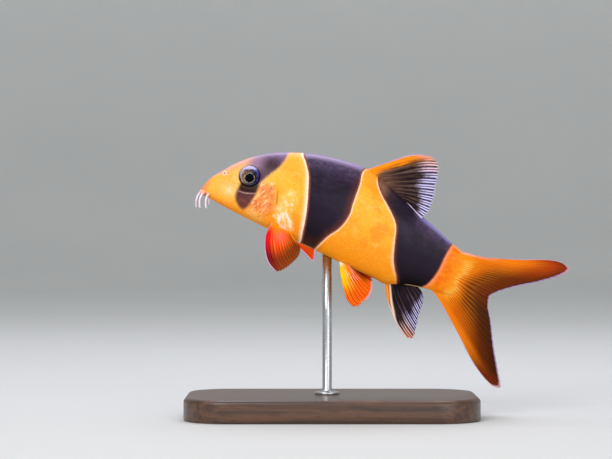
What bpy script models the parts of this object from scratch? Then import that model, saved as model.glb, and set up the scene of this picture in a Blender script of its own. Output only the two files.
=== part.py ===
"""Clown loach as a life-size still model, swimming head-up on a plain display stand.

Metres, +Z up. The head points to -X and the left flank to -Y. The origin is the middle of the base's underside.
The fish is drawn in its own frame, in millimetres: u runs from the snout tip towards the tail, w out of the left
flank, and v up from the straight belly. fish_to_world pitches that frame head-up and bends the tail aside.
"""

import math

import bmesh
import bpy
import numpy as np
from mathutils import Vector
from mathutils.bvhtree import BVHTree

MM = 0.001
GAP = 0.3
SHARP_EDGE = math.radians(35)

# Pose
PITCH = math.radians(25)
SNOUT_X = -35.0
SNOUT_Z = 60.4
BEND_START = 30.0
BEND_REACH = 68.0
TAIL_SWING = 7.0

# Body stations from the snout to the tail root: back point (u, v), belly point (u, v), half width, and the height of
# the widest line as a share of the depth.
STATIONS = np.array(
    (
        (0.00, 0.60, 0.05, -0.05, 0.30, 0.50),
        (0.10, 2.0, 0.50, -0.40, 1.25, 0.44),
        (1.00, 4.4, 1.90, -0.45, 1.95, 0.44),
        (2.80, 7.1, 4.20, -0.85, 2.75, 0.43),
        (5.30, 10.6, 7.50, -1.15, 3.60, 0.43),
        (8.60, 14.0, 11.5, -1.35, 4.55, 0.44),
        (12.6, 17.0, 15.8, -1.50, 5.40, 0.44),
        (17.2, 19.4, 20.6, -1.60, 6.05, 0.44),
        (23.5, 21.9, 26.0, -1.55, 6.40, 0.44),
        (30.5, 23.5, 31.8, -1.45, 6.40, 0.44),
        (37.4, 24.2, 37.8, -1.50, 6.05, 0.44),
        (44.5, 22.7, 44.4, -1.60, 5.35, 0.45),
        (51.0, 20.6, 50.6, -1.55, 4.50, 0.46),
        (57.3, 18.8, 56.2, -1.00, 3.60, 0.48),
        (62.6, 17.2, 61.3, 0.70, 2.80, 0.50),
        (67.0, 15.8, 65.9, 1.75, 2.10, 0.50),
        (70.2, 14.9, 69.6, 2.20, 1.50, 0.50),
        (72.2, 13.9, 72.0, 2.80, 0.90, 0.50),
    )
)
BACK_ROUNDNESS = 2.0
BELLY_ROUNDNESS = 2.7
NECK_AT = 7.0
TAIL_STEM_AT = 14.2
SNOUT_CROWDING = 1.25
RING = 36
HEAD_ROWS = 25
TORSO_ROWS = 17
TAIL_STEM_ROWS = 7

# Gill cover: how far its rear edge bows back, over how many stations, and how far it stands out of the flank
GILL_BOW = 1.3
GILL_BOW_SPREAD = 1.2
GILL_COVER_RAISE = 0.5
GILL_COVER_LENGTH = 2.2
GILL_COVER_RISE = -0.35
GILL_COVER_HALF_HEIGHT = 0.55

# Head, placed by (u, v) on the flank
EYE_AT = (10.3, 9.1)
EYE_RADIUS = 2.75
EYE_DEPTH = 1.9
EYE_BULGE = 0.85
NOSTRIL_AT = (3.9, 6.6)
NOSTRIL_RADIUS = 0.5
NOSTRIL_BORE = 0.42
NOSTRIL_RIM = 0.24
NOSTRIL_STEPS = 10
NOSTRIL_SIDES = 6
SPINE_SLOT_AT = (11.2, 5.7)
SPINE_SLOT_SIZE = (3.4, 0.6, 0.28)
MOUTH_CENTRE_U = 2.75
MOUTH_RADIUS = 1.55
MOUTH_HALF_ARC = math.radians(75)
MOUTH_STEPS = 15
LIP_RADIUS = 0.48
LIP_FADE = 0.35
LIP_SPACING = 0.74
LIP_SHIFT = 0.45
LIP_SHRINK = 0.55
LIP_V = -0.32
LIP_SLOPE = 0.38
LIP_CORNER_RISE = 0.25
MOUTH_SLIT = (0.22, 0.8)

# Barbels: root (u, w, v), elbow and tip, root radius
BARBELS = {
    "rostral_inner": ((0.35, 0.50, 0.15), (-0.85, 0.80, -2.0), (0.85, 0.95, -4.5), 0.44),
    "rostral_outer": ((0.95, 1.15, 0.15), (0.25, 1.90, -2.0), (1.75, 2.15, -4.2), 0.44),
    "maxillary": ((2.30, 1.75, 0.15), (2.00, 2.80, -1.7), (3.35, 3.0, -3.6), 0.42),
    "mandibular": ((2.95, 0.50, -0.80), (3.10, 0.75, -1.8), (3.7, 0.95, -2.35), 0.34),
}
BARBEL_TIP = 0.38
TIP_LENGTH = 0.6
BARBEL_SIDES = 7
BARBEL_RINGS = 7

# Fins: thicknesses, and how far the margin draws in between its rays
MEMBRANE = 0.50
FIN_EDGE = 0.40
RAY_RIDGE = 0.42
RAY_FADE = 0.75
LEAD_RAY = 1.5
FIN_ROOT = 1.1
PAIRED_ROOT = 1.6
ROOT_SHARE = 0.25
SCALLOP = 0.30
SCALLOP_POWER = 6

# Stand
BASE_LENGTH = 78.0
BASE_DEPTH = 46.0
BASE_HEIGHT = 6.0
BASE_CORNER = 12.0
BASE_CHAMFER = 0.8
ROD_RADIUS = 1.25
ROD_AT_U = 38.0
ROD_SOCKET = 3.0
ROD_SINK = 3.0

WOOD = (0.07, 0.045, 0.03)
STEEL = (0.6, 0.6, 0.62)
SKIN = (0.95, 0.42, 0.05)
DARK = (0.03, 0.02, 0.04)
RED = (0.85, 0.12, 0.02)
PALE = (0.85, 0.80, 0.80)


def swing(u):
    """How far the body is bent to its right at u."""
    return TAIL_SWING * (np.maximum(u - BEND_START, 0) / BEND_REACH) ** 2


def fish_to_world(points):
    """Points (u, w, v) of the fish's frame, in millimetres, as world points in metres."""
    u, w, v = np.asarray(points, float).T
    x = SNOUT_X + u * math.cos(PITCH) + v * math.sin(PITCH)
    z = SNOUT_Z - u * math.sin(PITCH) + v * math.cos(PITCH)
    return np.stack([x, swing(u) - w, z], axis=1) * MM


def curve(points, at):
    """A smooth curve through evenly numbered points, read at these numbers."""
    points = np.asarray(points, float)
    at = np.clip(np.asarray(at, float), 0, len(points) - 1)
    i = np.minimum(at.astype(int), len(points) - 2)
    t = (at - i)[:, None]
    padded = np.vstack([2 * points[0] - points[1], points, 2 * points[-1] - points[-2]])
    a, b, c, d = (padded[i + k] for k in range(4))
    return b + 0.5 * t * (c - a + t * (2 * a - 5 * b + 4 * c - d + t * (3 * (b - c) + d - a)))


def along(points, shares):
    """Points at these shares of the length of a smooth curve through the given points."""
    fine = curve(points, np.linspace(0, len(points) - 1, 200))
    run = np.concatenate([[0], np.cumsum(np.linalg.norm(np.diff(fine, axis=0), axis=1))])
    return np.stack([np.interp(np.asarray(shares) * run[-1], run, axis) for axis in fine.T], axis=1)


def body_ring(at, grow=0.0, gill=False, around=RING):
    """One ring of the body's surface, as points (u, w, v) from the belly up the left flank to the back."""
    back_u, back_v, belly_u, belly_v, half_width, waist = curve(STATIONS, [at])[0]
    belly, back = np.array([belly_u, belly_v]), np.array([back_u, back_v])
    depth = np.linalg.norm(back - belly)
    up = (back - belly) / depth
    turn = 2 * np.pi * np.arange(around) / around
    rise, out = -np.cos(turn), np.sin(turn)
    power = 2 / np.where(rise > 0, BACK_ROUNDNESS, BELLY_ROUNDNESS)
    rise, out = np.sign(rise) * np.abs(rise) ** power, np.sign(out) * np.abs(out) ** power
    height = np.where(rise > 0, (1 - waist) * depth * rise, waist * depth * rise)
    if gill:
        cover = np.clip(1 - (NECK_AT - at) / GILL_COVER_LENGTH, 0, 1)
        height_share = (rise - GILL_COVER_RISE) / GILL_COVER_HALF_HEIGHT
        half_width = half_width + GILL_COVER_RAISE * cover * np.exp(-(height_share**4))
    w = out * (half_width + grow)
    height = waist * depth + height + grow * rise
    bow = GILL_BOW * math.exp(-(((at - NECK_AT) / GILL_BOW_SPREAD) ** 2)) * (1 - rise**2)
    u = belly[0] + up[0] * height + bow
    v = belly[1] + up[1] * height
    return np.stack([u, w, v], axis=1)


def skin(start, stop, rows, grow=0.0, gill=False, around=RING):
    """Rings of the body between two station numbers. Rows crowd towards the snout, which turns fastest."""
    shares = np.linspace(0, 1, rows)
    if start == 0:
        shares = shares**SNOUT_CROWDING
    return [body_ring(start + (stop - start) * s, grow, gill, around) for s in shares]


def wall_faces(rings):
    """The faces that join each ring to the next."""
    count = len(rings[0])
    faces = []
    for r in range(len(rings) - 1):
        for k in range(count):
            a, b = r * count + k, r * count + (k + 1) % count
            faces.append((a, b, b + count, a + count))
    return faces


def pointed(rings, first_tip, last_tip):
    """Points and faces of a closed form of rings that ends in a point at each end."""
    count = len(rings[0])
    points = [p for ring in rings for p in ring] + [first_tip, last_tip]
    faces = wall_faces(rings)
    last = (len(rings) - 1) * count
    for k in range(count):
        after = (k + 1) % count
        faces.append((after, k, len(points) - 2))
        faces.append((last + k, last + after, len(points) - 1))
    return points, faces


def flank(at, side=1):
    """The point of the body's left (1) or right (-1) flank seen at (u, v) from the side, and its outward normal."""
    rings = skin(0, len(STATIONS) - 1, 120, gill=True, around=72)
    tree = BVHTree.FromPolygons([Vector(p) for ring in rings for p in ring], wall_faces(rings))
    point, normal, _, _ = tree.ray_cast(Vector((at[0], 50.0, at[1])), Vector((0, -1, 0)))
    normal = normal if normal.y > 0 else -normal
    return mirrored(point, side), mirrored(normal, side)


def solid(name, points, faces):
    """A mesh object from fish points and faces, with its faces turned outwards."""
    mesh = bpy.data.meshes.new(name)
    mesh.from_pydata([tuple(p) for p in fish_to_world(points)], [], [tuple(map(int, f)) for f in faces])
    return finish_mesh(name, mesh)


def finish_mesh(name, mesh):
    """An object of a closed mesh, its double points merged and its faces turned outwards."""
    bm = bmesh.new()
    bm.from_mesh(mesh)
    bmesh.ops.remove_doubles(bm, verts=bm.verts, dist=0.00001)
    bmesh.ops.recalc_face_normals(bm, faces=bm.faces)
    bm.to_mesh(mesh)
    bm.free()
    obj = bpy.data.objects.new(name, mesh)
    bpy.context.scene.collection.objects.link(obj)
    return obj


def loft(name, rings, nose=None):
    """A closed solid through the rings. Its flat ends join each left point to the right point at its height."""
    count = len(rings[0])
    points = [p for ring in rings for p in ring]
    faces = wall_faces(rings)
    ends = [0, (len(rings) - 1) * count]
    if nose is not None:
        points.append(nose)
        faces += [((k + 1) % count, k, len(points) - 1) for k in range(count)]
        ends = ends[1:]
    for first in ends:
        for k in range(count // 2):
            left, right = (first + k, first + k + 1), (first + (count - k) % count, first + count - k - 1)
            quad = list(dict.fromkeys((left[0], left[1], right[1], right[0])))
            faces.append(quad)
    return solid(name, points, faces)


def step_of(at):
    """Millimetres along the body's middle for one station number, at a station number."""
    ends = curve(STATIONS, [at - 0.5, at + 0.5])
    middle = (ends[:, 0:2] + ends[:, 2:4]) / 2
    return np.linalg.norm(middle[1] - middle[0])


def body(name, start, stop, rows, grow=0.0, gill=False, around=RING):
    """The body between two station numbers, as one closed solid."""
    rings = skin(start, stop, rows, grow, gill, around)
    nose = None
    if start == 0:
        nose = rings[0].mean(axis=0) - [0.12 + grow, 0, 0]
    return loft(name, rings, nose)


def tube(name, path, radii, sides=BARBEL_SIDES, stretch=(1.0, 1.0)):
    """A closed tube along a path of fish points. stretch scales it level and square to level."""
    path = np.asarray(path, float)
    ahead = np.gradient(path, axis=0)
    ahead /= np.linalg.norm(ahead, axis=1)[:, None]
    rings = []
    for p, d, radius in zip(path, ahead, radii):
        level = np.cross(d, [0, 0, 1.0])
        level /= np.linalg.norm(level)
        over = np.cross(level, d)
        turns = [2 * math.pi * k / sides for k in range(sides)]
        rings.append(
            [p + radius * (level * math.cos(a) * stretch[0] + over * math.sin(a) * stretch[1]) for a in turns]
        )
    tips = path[0] - ahead[0] * radii[0] * TIP_LENGTH, path[-1] + ahead[-1] * radii[-1] * TIP_LENGTH
    return solid(name, *pointed(rings, *tips))


def ellipsoid(name, centre, radii, around=16, count=8):
    """An ellipsoid in the fish's frame, of this many rings from pole to pole on the w axis."""
    rings = []
    for r in range(1, count):
        polar = math.pi * r / count
        turns = [2 * math.pi * k / around for k in range(around)]
        ring = [(math.sin(polar) * math.cos(a), math.cos(polar), math.sin(polar) * math.sin(a)) for a in turns]
        rings.append([centre + np.array(p) * radii for p in ring])
    pole = np.array([0, radii[1], 0])
    return solid(name, *pointed(rings, centre + pole, centre - pole))


def keep_largest(mesh):
    """Leaves only the mesh's largest closed surface."""
    bm = bmesh.new()
    bm.from_mesh(mesh)
    bmesh.ops.triangulate(bm, faces=bm.faces)
    unseen, pieces = set(bm.faces), []
    while unseen:
        edge_of_piece, piece = [unseen.pop()], []
        while edge_of_piece:
            face = edge_of_piece.pop()
            piece.append(face)
            near = {f for e in face.edges for f in e.link_faces} & unseen
            unseen -= near
            edge_of_piece += near
        pieces.append(piece)
    pieces.sort(key=lambda piece: sum(f.calc_area() for f in piece))
    loose = [f for piece in pieces[:-1] for f in piece]
    bmesh.ops.delete(bm, geom=loose, context="FACES")
    bm.to_mesh(mesh)
    bm.free()


def combine(obj, pieces, operation):
    """Joins the pieces to obj, or cuts them from it, with one Boolean, and applies it."""
    group = bpy.data.collections.new("pieces")
    bpy.context.scene.collection.children.link(group)
    for piece in pieces:
        bpy.context.scene.collection.objects.unlink(piece)
        group.objects.link(piece)
    modifier = obj.modifiers.new(operation.lower(), "BOOLEAN")
    modifier.operation = operation
    modifier.operand_type = "COLLECTION"
    modifier.collection = group
    modifier.solver = "EXACT"
    graph = bpy.context.evaluated_depsgraph_get()
    mesh = bpy.data.meshes.new_from_object(obj.evaluated_get(graph))
    obj.modifiers.clear()
    obj.data = mesh
    for piece in pieces:
        bpy.data.objects.remove(piece)
    bpy.data.collections.remove(group)
    keep_largest(mesh)
    return obj


def paint(obj, colour, roughness=0.35, metallic=0.0):
    """Gives the object its own plain material."""
    material = bpy.data.materials.new(obj.name)
    material.use_nodes = True
    shader = material.node_tree.nodes["Principled BSDF"]
    shader.inputs["Base Color"].default_value = (*colour, 1)
    shader.inputs["Roughness"].default_value = roughness
    shader.inputs["Metallic"].default_value = metallic
    obj.data.materials.clear()
    obj.data.materials.append(material)
    return obj


def mirrored(point, side):
    """A fish point on the left (side 1) or the right (side -1)."""
    return np.array([point[0], side * point[1], point[2]])


def lip_path(back):
    """The mouth's arc on the underside of the snout, drawn back by some millimetres."""
    turn = np.linspace(-MOUTH_HALF_ARC, MOUTH_HALF_ARC, MOUTH_STEPS)
    radius = MOUTH_RADIUS - back * LIP_SHRINK
    u = MOUTH_CENTRE_U + back * LIP_SHIFT - radius * np.cos(turn)
    v = LIP_V - LIP_SLOPE * back + LIP_CORNER_RISE * (1 - np.cos(turn))
    return np.stack([u, radius * np.sin(turn), v], axis=1)


def lips(grow=0.0):
    """The two fleshy lips, as tubes that thin towards the mouth's corners."""
    radii = LIP_RADIUS * (1 - LIP_FADE * np.linspace(-1, 1, MOUTH_STEPS) ** 2) + grow
    return [tube("lip", lip_path(back), radii) for back in (0, 2 * LIP_SPACING)]


def nostril_rim(side):
    """The raised ring round one nostril, lying on the slope of the snout."""
    centre, normal = flank(NOSTRIL_AT, side)
    first = np.cross(normal, [0, 1.0, 0])
    first /= np.linalg.norm(first)
    second = np.cross(normal, first)
    rings = []
    for step in range(NOSTRIL_STEPS + 1):
        turn = 2 * math.pi * step / NOSTRIL_STEPS
        out = first * math.cos(turn) + second * math.sin(turn)
        bends = [2 * math.pi * k / NOSTRIL_SIDES for k in range(NOSTRIL_SIDES)]
        middle = centre + NOSTRIL_RADIUS * out
        rings.append([middle + NOSTRIL_RIM * (out * math.cos(a) + normal * math.sin(a)) for a in bends])
    return solid("nostril_rim", [p for ring in rings for p in ring], wall_faces(rings))


def eye_centre(side):
    """The middle of one eye, sunk into the flank so that only its bulge stands out."""
    point, _ = flank(EYE_AT, side)
    return point - np.array([0, side * (EYE_DEPTH - EYE_BULGE), 0])


def make_head():
    stop = NECK_AT - GAP / 2 / step_of(NECK_AT)
    head = body("head", 0, stop, HEAD_ROWS, gill=True)
    combine(head, lips() + [nostril_rim(side) for side in (1, -1)], "UNION")
    slit = tube("mouth_slit", lip_path(LIP_SPACING), np.ones(MOUTH_STEPS), stretch=MOUTH_SLIT)
    cuts = [slit]
    for side in (1, -1):
        socket = np.array([EYE_RADIUS + GAP, EYE_DEPTH + GAP, EYE_RADIUS + GAP])
        nostril, spine_slot = flank(NOSTRIL_AT, side)[0], flank(SPINE_SLOT_AT, side)[0]
        cuts.append(ellipsoid("socket", eye_centre(side), socket, 22, 12))
        cuts.append(ellipsoid("nostril", nostril, np.full(3, NOSTRIL_BORE), 10, 6))
        cuts.append(ellipsoid("spine_slot", spine_slot, np.array(SPINE_SLOT_SIZE)))
    paint(combine(head, cuts, "DIFFERENCE"), SKIN)


def make_trunk():
    neck, stem = GAP / 2 / step_of(NECK_AT), GAP / 2 / step_of(TAIL_STEM_AT)
    torso = body("torso", NECK_AT + neck, TAIL_STEM_AT - stem, TORSO_ROWS)
    tail_stem = body("tail_stem", TAIL_STEM_AT + stem, len(STATIONS) - 1, TAIL_STEM_ROWS)
    paint(torso, DARK)
    paint(tail_stem, SKIN)


def make_eyes():
    for name, side in (("eye_left", 1), ("eye_right", -1)):
        radii = np.array([EYE_RADIUS, EYE_DEPTH, EYE_RADIUS])
        paint(ellipsoid(name, eye_centre(side), radii, 20, 12), DARK, 0.1)


def clear_body(start=0, stop=len(STATIONS) - 1, rows=45, around=28):
    """The body grown by the gap, which cuts what grows from it clear of its surface."""
    return body("clear_body", start, stop, rows, GAP, around=around)


def make_barbels():
    for kind, (root, elbow, tip, radius) in BARBELS.items():
        for word, side in (("left", 1), ("right", -1)):
            ends = [mirrored(p, side) for p in (root, elbow, tip)]
            t = np.linspace(0, 1, BARBEL_RINGS)[:, None]
            path = (1 - t) ** 2 * ends[0] + 2 * t * (1 - t) * ends[1] + t**2 * ends[2]
            radii = radius * (1 - (1 - BARBEL_TIP) * t[:, 0])
            barbel = tube(f"barbel_{kind}_{word}", path, radii)
            combine(barbel, [clear_body(0, 5, 14, 20), *lips(GAP)], "DIFFERENCE")
            paint(barbel, PALE)


def fin_sheet(root, lead, margin, trail, rays, rows, gather=1.0, curl=0.0):
    """Points of a fin's middle surface, [column, row], spanned by its four edges, with a ray on each even column.

    lead and trail give only the points between the root and the margin. gather over 1 crowds rays to the lead.
    curl bends the outer part this many millimetres out of the fin's own plane.
    """
    share = np.linspace(0, 1, 2 * rays - 1)
    t = np.linspace(0, 1, rows)
    root, margin = np.asarray(root, float), np.asarray(margin, float)
    foot, rim = along(root, share), along(margin, share**gather)
    front = along([root[0], *lead, margin[0]], t)
    rear = along([root[-1], *trail, margin[-1]], t)
    s, t = share[:, None, None], t[None, :, None]
    sheet = foot[:, None] * (1 - t) + rim[:, None] * t + front[None] * (1 - s) + rear[None] * s
    sheet -= (root[0] * (1 - s) + root[-1] * s) * (1 - t) + (margin[0] * (1 - s) + margin[-1] * s) * t
    length = np.linalg.norm(sheet[:, -1] - sheet[:, 0], axis=1)[:, None, None]
    pull = (sheet[:, -1:] - sheet[:, :1]) / length * SCALLOP * t**SCALLOP_POWER
    sheet[1::2] -= pull[1::2]
    square = np.cross(root[-1] - root[0], margin.mean(axis=0) - root.mean(axis=0))
    return sheet + curl * t**2 * square / np.linalg.norm(square)


def fin(name, sheet, colour, root_thick=FIN_ROOT):
    """A closed fin: the sheet thickened both ways, thicker along its rays and at its root."""
    columns, rows, _ = sheet.shape
    across = np.gradient(sheet, axis=0)
    outward = np.gradient(sheet, axis=1)
    normal = np.cross(across, outward)
    normal /= np.linalg.norm(normal, axis=2)[:, :, None]
    t = np.linspace(0, 1, rows)[None, :]
    thick = MEMBRANE + (FIN_EDGE - MEMBRANE) * t**3 + np.zeros((columns, 1))
    thick[::2] += RAY_RIDGE * (1 - RAY_FADE * t)
    thick[0] = (thick[2] - MEMBRANE) * LEAD_RAY + MEMBRANE
    thick = np.maximum(thick, root_thick * (1 - t / ROOT_SHARE))
    half = normal * thick[:, :, None] / 2
    points = np.concatenate([(sheet + half).reshape(-1, 3), (sheet - half).reshape(-1, 3)])
    other = columns * rows
    faces = []
    for c in range(columns - 1):
        for r in range(rows - 1):
            a, b = c * rows + r, (c + 1) * rows + r
            for x, y, z in ((a, b, b + 1), (a, b + 1, a + 1)):
                faces += [(x, y, z), (x + other, z + other, y + other)]
    first, last = [c * rows for c in range(columns)], [c * rows + rows - 1 for c in range(columns)]
    lead_edge, rear_edge = list(range(rows)), [(columns - 1) * rows + r for r in range(rows)]
    for line, flip in ((first, 1), (last, -1), (lead_edge, -1), (rear_edge, 1)):
        for a, b in zip(line[:-1], line[1:]):
            halves = (a, a + other, b + other), (a, b + other, b)
            faces += [half[::flip] for half in halves]
    return paint(combine(solid(name, points, faces), [clear_body()], "DIFFERENCE"), colour, 0.4)


# Edges of the fins on the middle plane, in (u, v)
DORSAL = {
    "root": ((37.0, 23.2), (43.8, 21.6), (50.4, 19.2)),
    "lead": ((43.0, 29.0), (45.9, 31.7), (48.8, 33.6)),
    "margin": ((51.6, 34.45), (54.2, 33.8), (55.6, 31.9), (56.7, 27.8), (57.7, 23.8), (57.7, 20.9), (56.4, 19.4)),
    "trail": ((53.2, 20.5),),
}
ANAL = {
    "root": ((54.4, -0.6), (58.0, 1.0), (61.6, 2.0)),
    "lead": ((57.5, -5.2), (59.7, -7.5), (62.4, -10.0), (64.8, -11.5)),
    "margin": ((66.5, -12.15), (67.9, -11.3), (67.7, -9.0), (67.1, -5.5), (66.9, -2.6), (66.2, -0.5)),
    "trail": ((64.6, 0.9),),
}
CAUDAL_UPPER = {
    "root": ((68.4, 14.4), (70.9, 11.8), (71.1, 8.35)),
    "lead": ((72.4, 15.85), (78.8, 17.0), (85.7, 19.6), (91.3, 22.3), (94.6, 23.4)),
    "margin": ((97.4, 23.7), (99.4, 22.9), (97.6, 20.4), (93.2, 16.6), (88.6, 13.3), (84.3, 9.7), (82.2, 7.4)),
    "trail": ((76.6, 7.87),),
}
CAUDAL_LOWER = {
    "root": ((67.6, 3.0), (70.9, 5.0), (71.1, 7.95)),
    "lead": ((70.9, 0.2), (75.1, -2.7), (79.7, -6.1), (85.2, -10.5), (89.7, -13.1)),
    "margin": ((93.4, -14.5), (95.5, -13.8), (93.1, -10.2), (89.3, -4.9), (85.5, 1.2), (83.2, 4.4), (82.2, 7.0)),
    "trail": ((76.6, 7.5),),
}


def make_median_fins():
    """The fins on the middle plane: each one's edges, rays, rows, gather, curl and colour."""
    kinds = {
        "dorsal_fin": (DORSAL, 11, 13, 1.0, -0.9, DARK),
        "anal_fin": (ANAL, 8, 11, 1.0, 0.6, DARK),
        "caudal_fin_upper": (CAUDAL_UPPER, 10, 15, 1.25, 0.0, SKIN),
        "caudal_fin_lower": (CAUDAL_LOWER, 10, 15, 1.25, 0.0, SKIN),
    }
    for name, (edges, rays, rows, gather, curl, colour) in kinds.items():
        sides = {edge: [(u, 0, v) for u, v in points] for edge, points in edges.items()}
        fin(name, fin_sheet(**sides, rays=rays, rows=rows, gather=gather, curl=curl), colour)


# Paired fins laid flat, in (chord, reach) from the middle of the root
PECTORAL_SPREAD = {
    "root": ((-2.0, -0.3), (0.0, 0.0), (2.0, 0.3)),
    "lead": ((-2.3, 2.9), (-2.0, 5.3), (-0.5, 9.0), (1.6, 11.8)),
    "margin": ((4.3, 13.4), (5.7, 12.3), (7.0, 9.9), (7.9, 7.3), (8.1, 5.3), (7.5, 3.4)),
    "trail": ((5.0, 1.7),),
}
PECTORAL_FOLDED = {
    "root": ((-1.4, -0.4), (0.0, 0.0), (1.6, 0.3)),
    "lead": ((-0.7, 4.0), (0.2, 9.0)),
    "margin": ((0.6, 14.2), (2.2, 13.3), (3.8, 11.6), (5.0, 9.0), (5.3, 6.2)),
    "trail": ((3.4, 2.8),),
}
PELVIC_SPREAD = {
    "root": ((-0.8, 0.0), (0.0, 0.1), (0.8, 0.2)),
    "lead": ((1.8, 3.6), (4.5, 7.3), (6.3, 9.2)),
    "margin": ((8.5, 10.1), (10.0, 8.7), (11.0, 6.4), (11.1, 3.9), (10.3, 1.7)),
    "trail": ((6.0, 1.0),),
}

# Each paired fin: its flat form, the middle of its root, the ways its reach and its chord run and how far its root
# row is sunk (all in (u, w, v)), and its rays.
PAIRED = {
    "pectoral_fin_left": (PECTORAL_SPREAD, (23.0, 4.6, 0.4), (0, 0.5, -0.866), (1, 0, 0), (0, -0.9, 1.3), 12),
    "pectoral_fin_right": (
        PECTORAL_FOLDED,
        (22.8, -4.7, 0.6),
        (0.909, -0.154, -0.385),
        (0.266, -0.495, 0.827),
        (0, 1.7, 0.6),
        12,
    ),
    "pelvic_fin_left": (PELVIC_SPREAD, (41.6, 2.0, -1.3), (0, 0.3, -0.954), (1, 0, 0), (0, -0.3, 1.3), 8),
    "pelvic_fin_right": (PELVIC_SPREAD, (41.6, -2.0, -1.3), (0.1, -0.42, -0.9), (0.94, 0, 0.1), (0, 0.3, 1.3), 8),
}
PAIRED_ROWS = 10
PAIRED_CURL = 0.8


def make_paired_fins():
    for name, (form, root_at, reach, chord, sink, rays) in PAIRED.items():
        root_at, reach, chord = (np.array(v, float) for v in (root_at, reach, chord))
        sides = {edge: [root_at + chord * c + reach * r for c, r in points] for edge, points in form.items()}
        sides["root"] = [p + sink for p in sides["root"]]
        curl = PAIRED_CURL if name.endswith("left") else -PAIRED_CURL
        fin(name, fin_sheet(**sides, rays=rays, rows=PAIRED_ROWS, curl=curl), RED, PAIRED_ROOT)


def plate(name, length, depth, corner, height, chamfer):
    """A flat plate with round corners and a chamfered top edge, standing on z = 0, in millimetres."""
    corners = ((1, 1), (-1, 1), (-1, -1), (1, -1))
    rings = []
    for inset, z in ((0, 0), (0, height - chamfer), (chamfer, height)):
        ring = []
        for quarter, (x, y) in enumerate(corners):
            for turn in np.linspace(quarter, quarter + 1, 7) * math.pi / 2:
                across = x * (length / 2 - corner) + (corner - inset) * math.cos(turn)
                deep = y * (depth / 2 - corner) + (corner - inset) * math.sin(turn)
                ring.append((across * MM, deep * MM, z * MM))
        rings.append(ring)
    count = len(rings[0])
    faces = [tuple(range(count))[::-1], tuple(range(2 * count, 3 * count)), *wall_faces(rings)]
    mesh = bpy.data.meshes.new(name)
    mesh.from_pydata([p for ring in rings for p in ring], [], faces)
    return finish_mesh(name, mesh)


def cylinder(name, x, y, radius, low, high):
    """An upright cylinder between two heights, in millimetres."""
    bm = bmesh.new()
    sizes = {"radius1": radius * MM, "radius2": radius * MM, "depth": (high - low) * MM}
    bmesh.ops.create_cone(bm, cap_ends=True, segments=24, **sizes)
    bmesh.ops.translate(bm, verts=bm.verts, vec=(x * MM, y * MM, (high + low) / 2 * MM))
    mesh = bpy.data.meshes.new(name)
    bm.to_mesh(mesh)
    bm.free()
    return finish_mesh(name, mesh)


def make_stand():
    base = plate("stand_base", BASE_LENGTH, BASE_DEPTH, BASE_CORNER, BASE_HEIGHT, BASE_CHAMFER)
    belly_v = body_ring(np.interp(ROD_AT_U, STATIONS[:, 2], range(len(STATIONS))))[0, 2]
    x, y, z = fish_to_world([(ROD_AT_U, 0, belly_v)])[0] / MM
    floor = BASE_HEIGHT - ROD_SOCKET
    socket = cylinder("socket", x, y, ROD_RADIUS + GAP, floor, BASE_HEIGHT + ROD_SOCKET)
    rod = cylinder("stand_rod", x, y, ROD_RADIUS, floor + GAP, z + ROD_SINK)
    paint(combine(base, [socket], "DIFFERENCE"), WOOD, 0.4)
    paint(combine(rod, [clear_body()], "DIFFERENCE"), STEEL, 0.25, 1.0)


def shade(obj):
    """Smooth shading, but for sharp edges."""
    obj.data.shade_smooth()
    obj.data.set_sharp_from_angle(angle=SHARP_EDGE)


def main():
    for obj in list(bpy.data.objects):
        bpy.data.objects.remove(obj)
    make_head()
    make_trunk()
    make_eyes()
    make_barbels()
    make_median_fins()
    make_paired_fins()
    make_stand()
    for obj in bpy.data.objects:
        shade(obj)


main()
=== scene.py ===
"""Looks of the clown loach on its display stand.

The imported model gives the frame: metres, +Z up, head to -X, left flank to -Y. The fish is drawn in its own frame, in
millimetres: u runs from the snout tip to the tail, w out of the left flank, and v up from the straight belly.
"""

import math

import bmesh
import bpy
import numpy as np
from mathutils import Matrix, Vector
from mathutils.kdtree import KDTree
from numpy.linalg import norm


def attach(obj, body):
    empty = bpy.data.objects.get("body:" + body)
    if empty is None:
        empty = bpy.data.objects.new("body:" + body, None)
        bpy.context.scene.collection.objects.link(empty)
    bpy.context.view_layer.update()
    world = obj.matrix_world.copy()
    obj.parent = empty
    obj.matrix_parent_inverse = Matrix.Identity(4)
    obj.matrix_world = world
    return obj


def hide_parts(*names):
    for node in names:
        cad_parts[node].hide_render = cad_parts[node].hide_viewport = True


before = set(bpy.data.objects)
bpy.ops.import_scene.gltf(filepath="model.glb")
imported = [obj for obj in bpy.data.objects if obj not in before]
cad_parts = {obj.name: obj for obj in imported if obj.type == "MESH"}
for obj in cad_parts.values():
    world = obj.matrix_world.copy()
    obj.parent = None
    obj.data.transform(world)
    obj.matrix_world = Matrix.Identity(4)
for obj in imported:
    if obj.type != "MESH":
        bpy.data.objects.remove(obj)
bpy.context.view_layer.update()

MM = 0.001

# Pose
PITCH = math.radians(25)
SNOUT_X = -35.0
SNOUT_Z = 60.4
BEND_START = 30.0
BEND_REACH = 68.0
TAIL_SWING = 7.0

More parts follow.
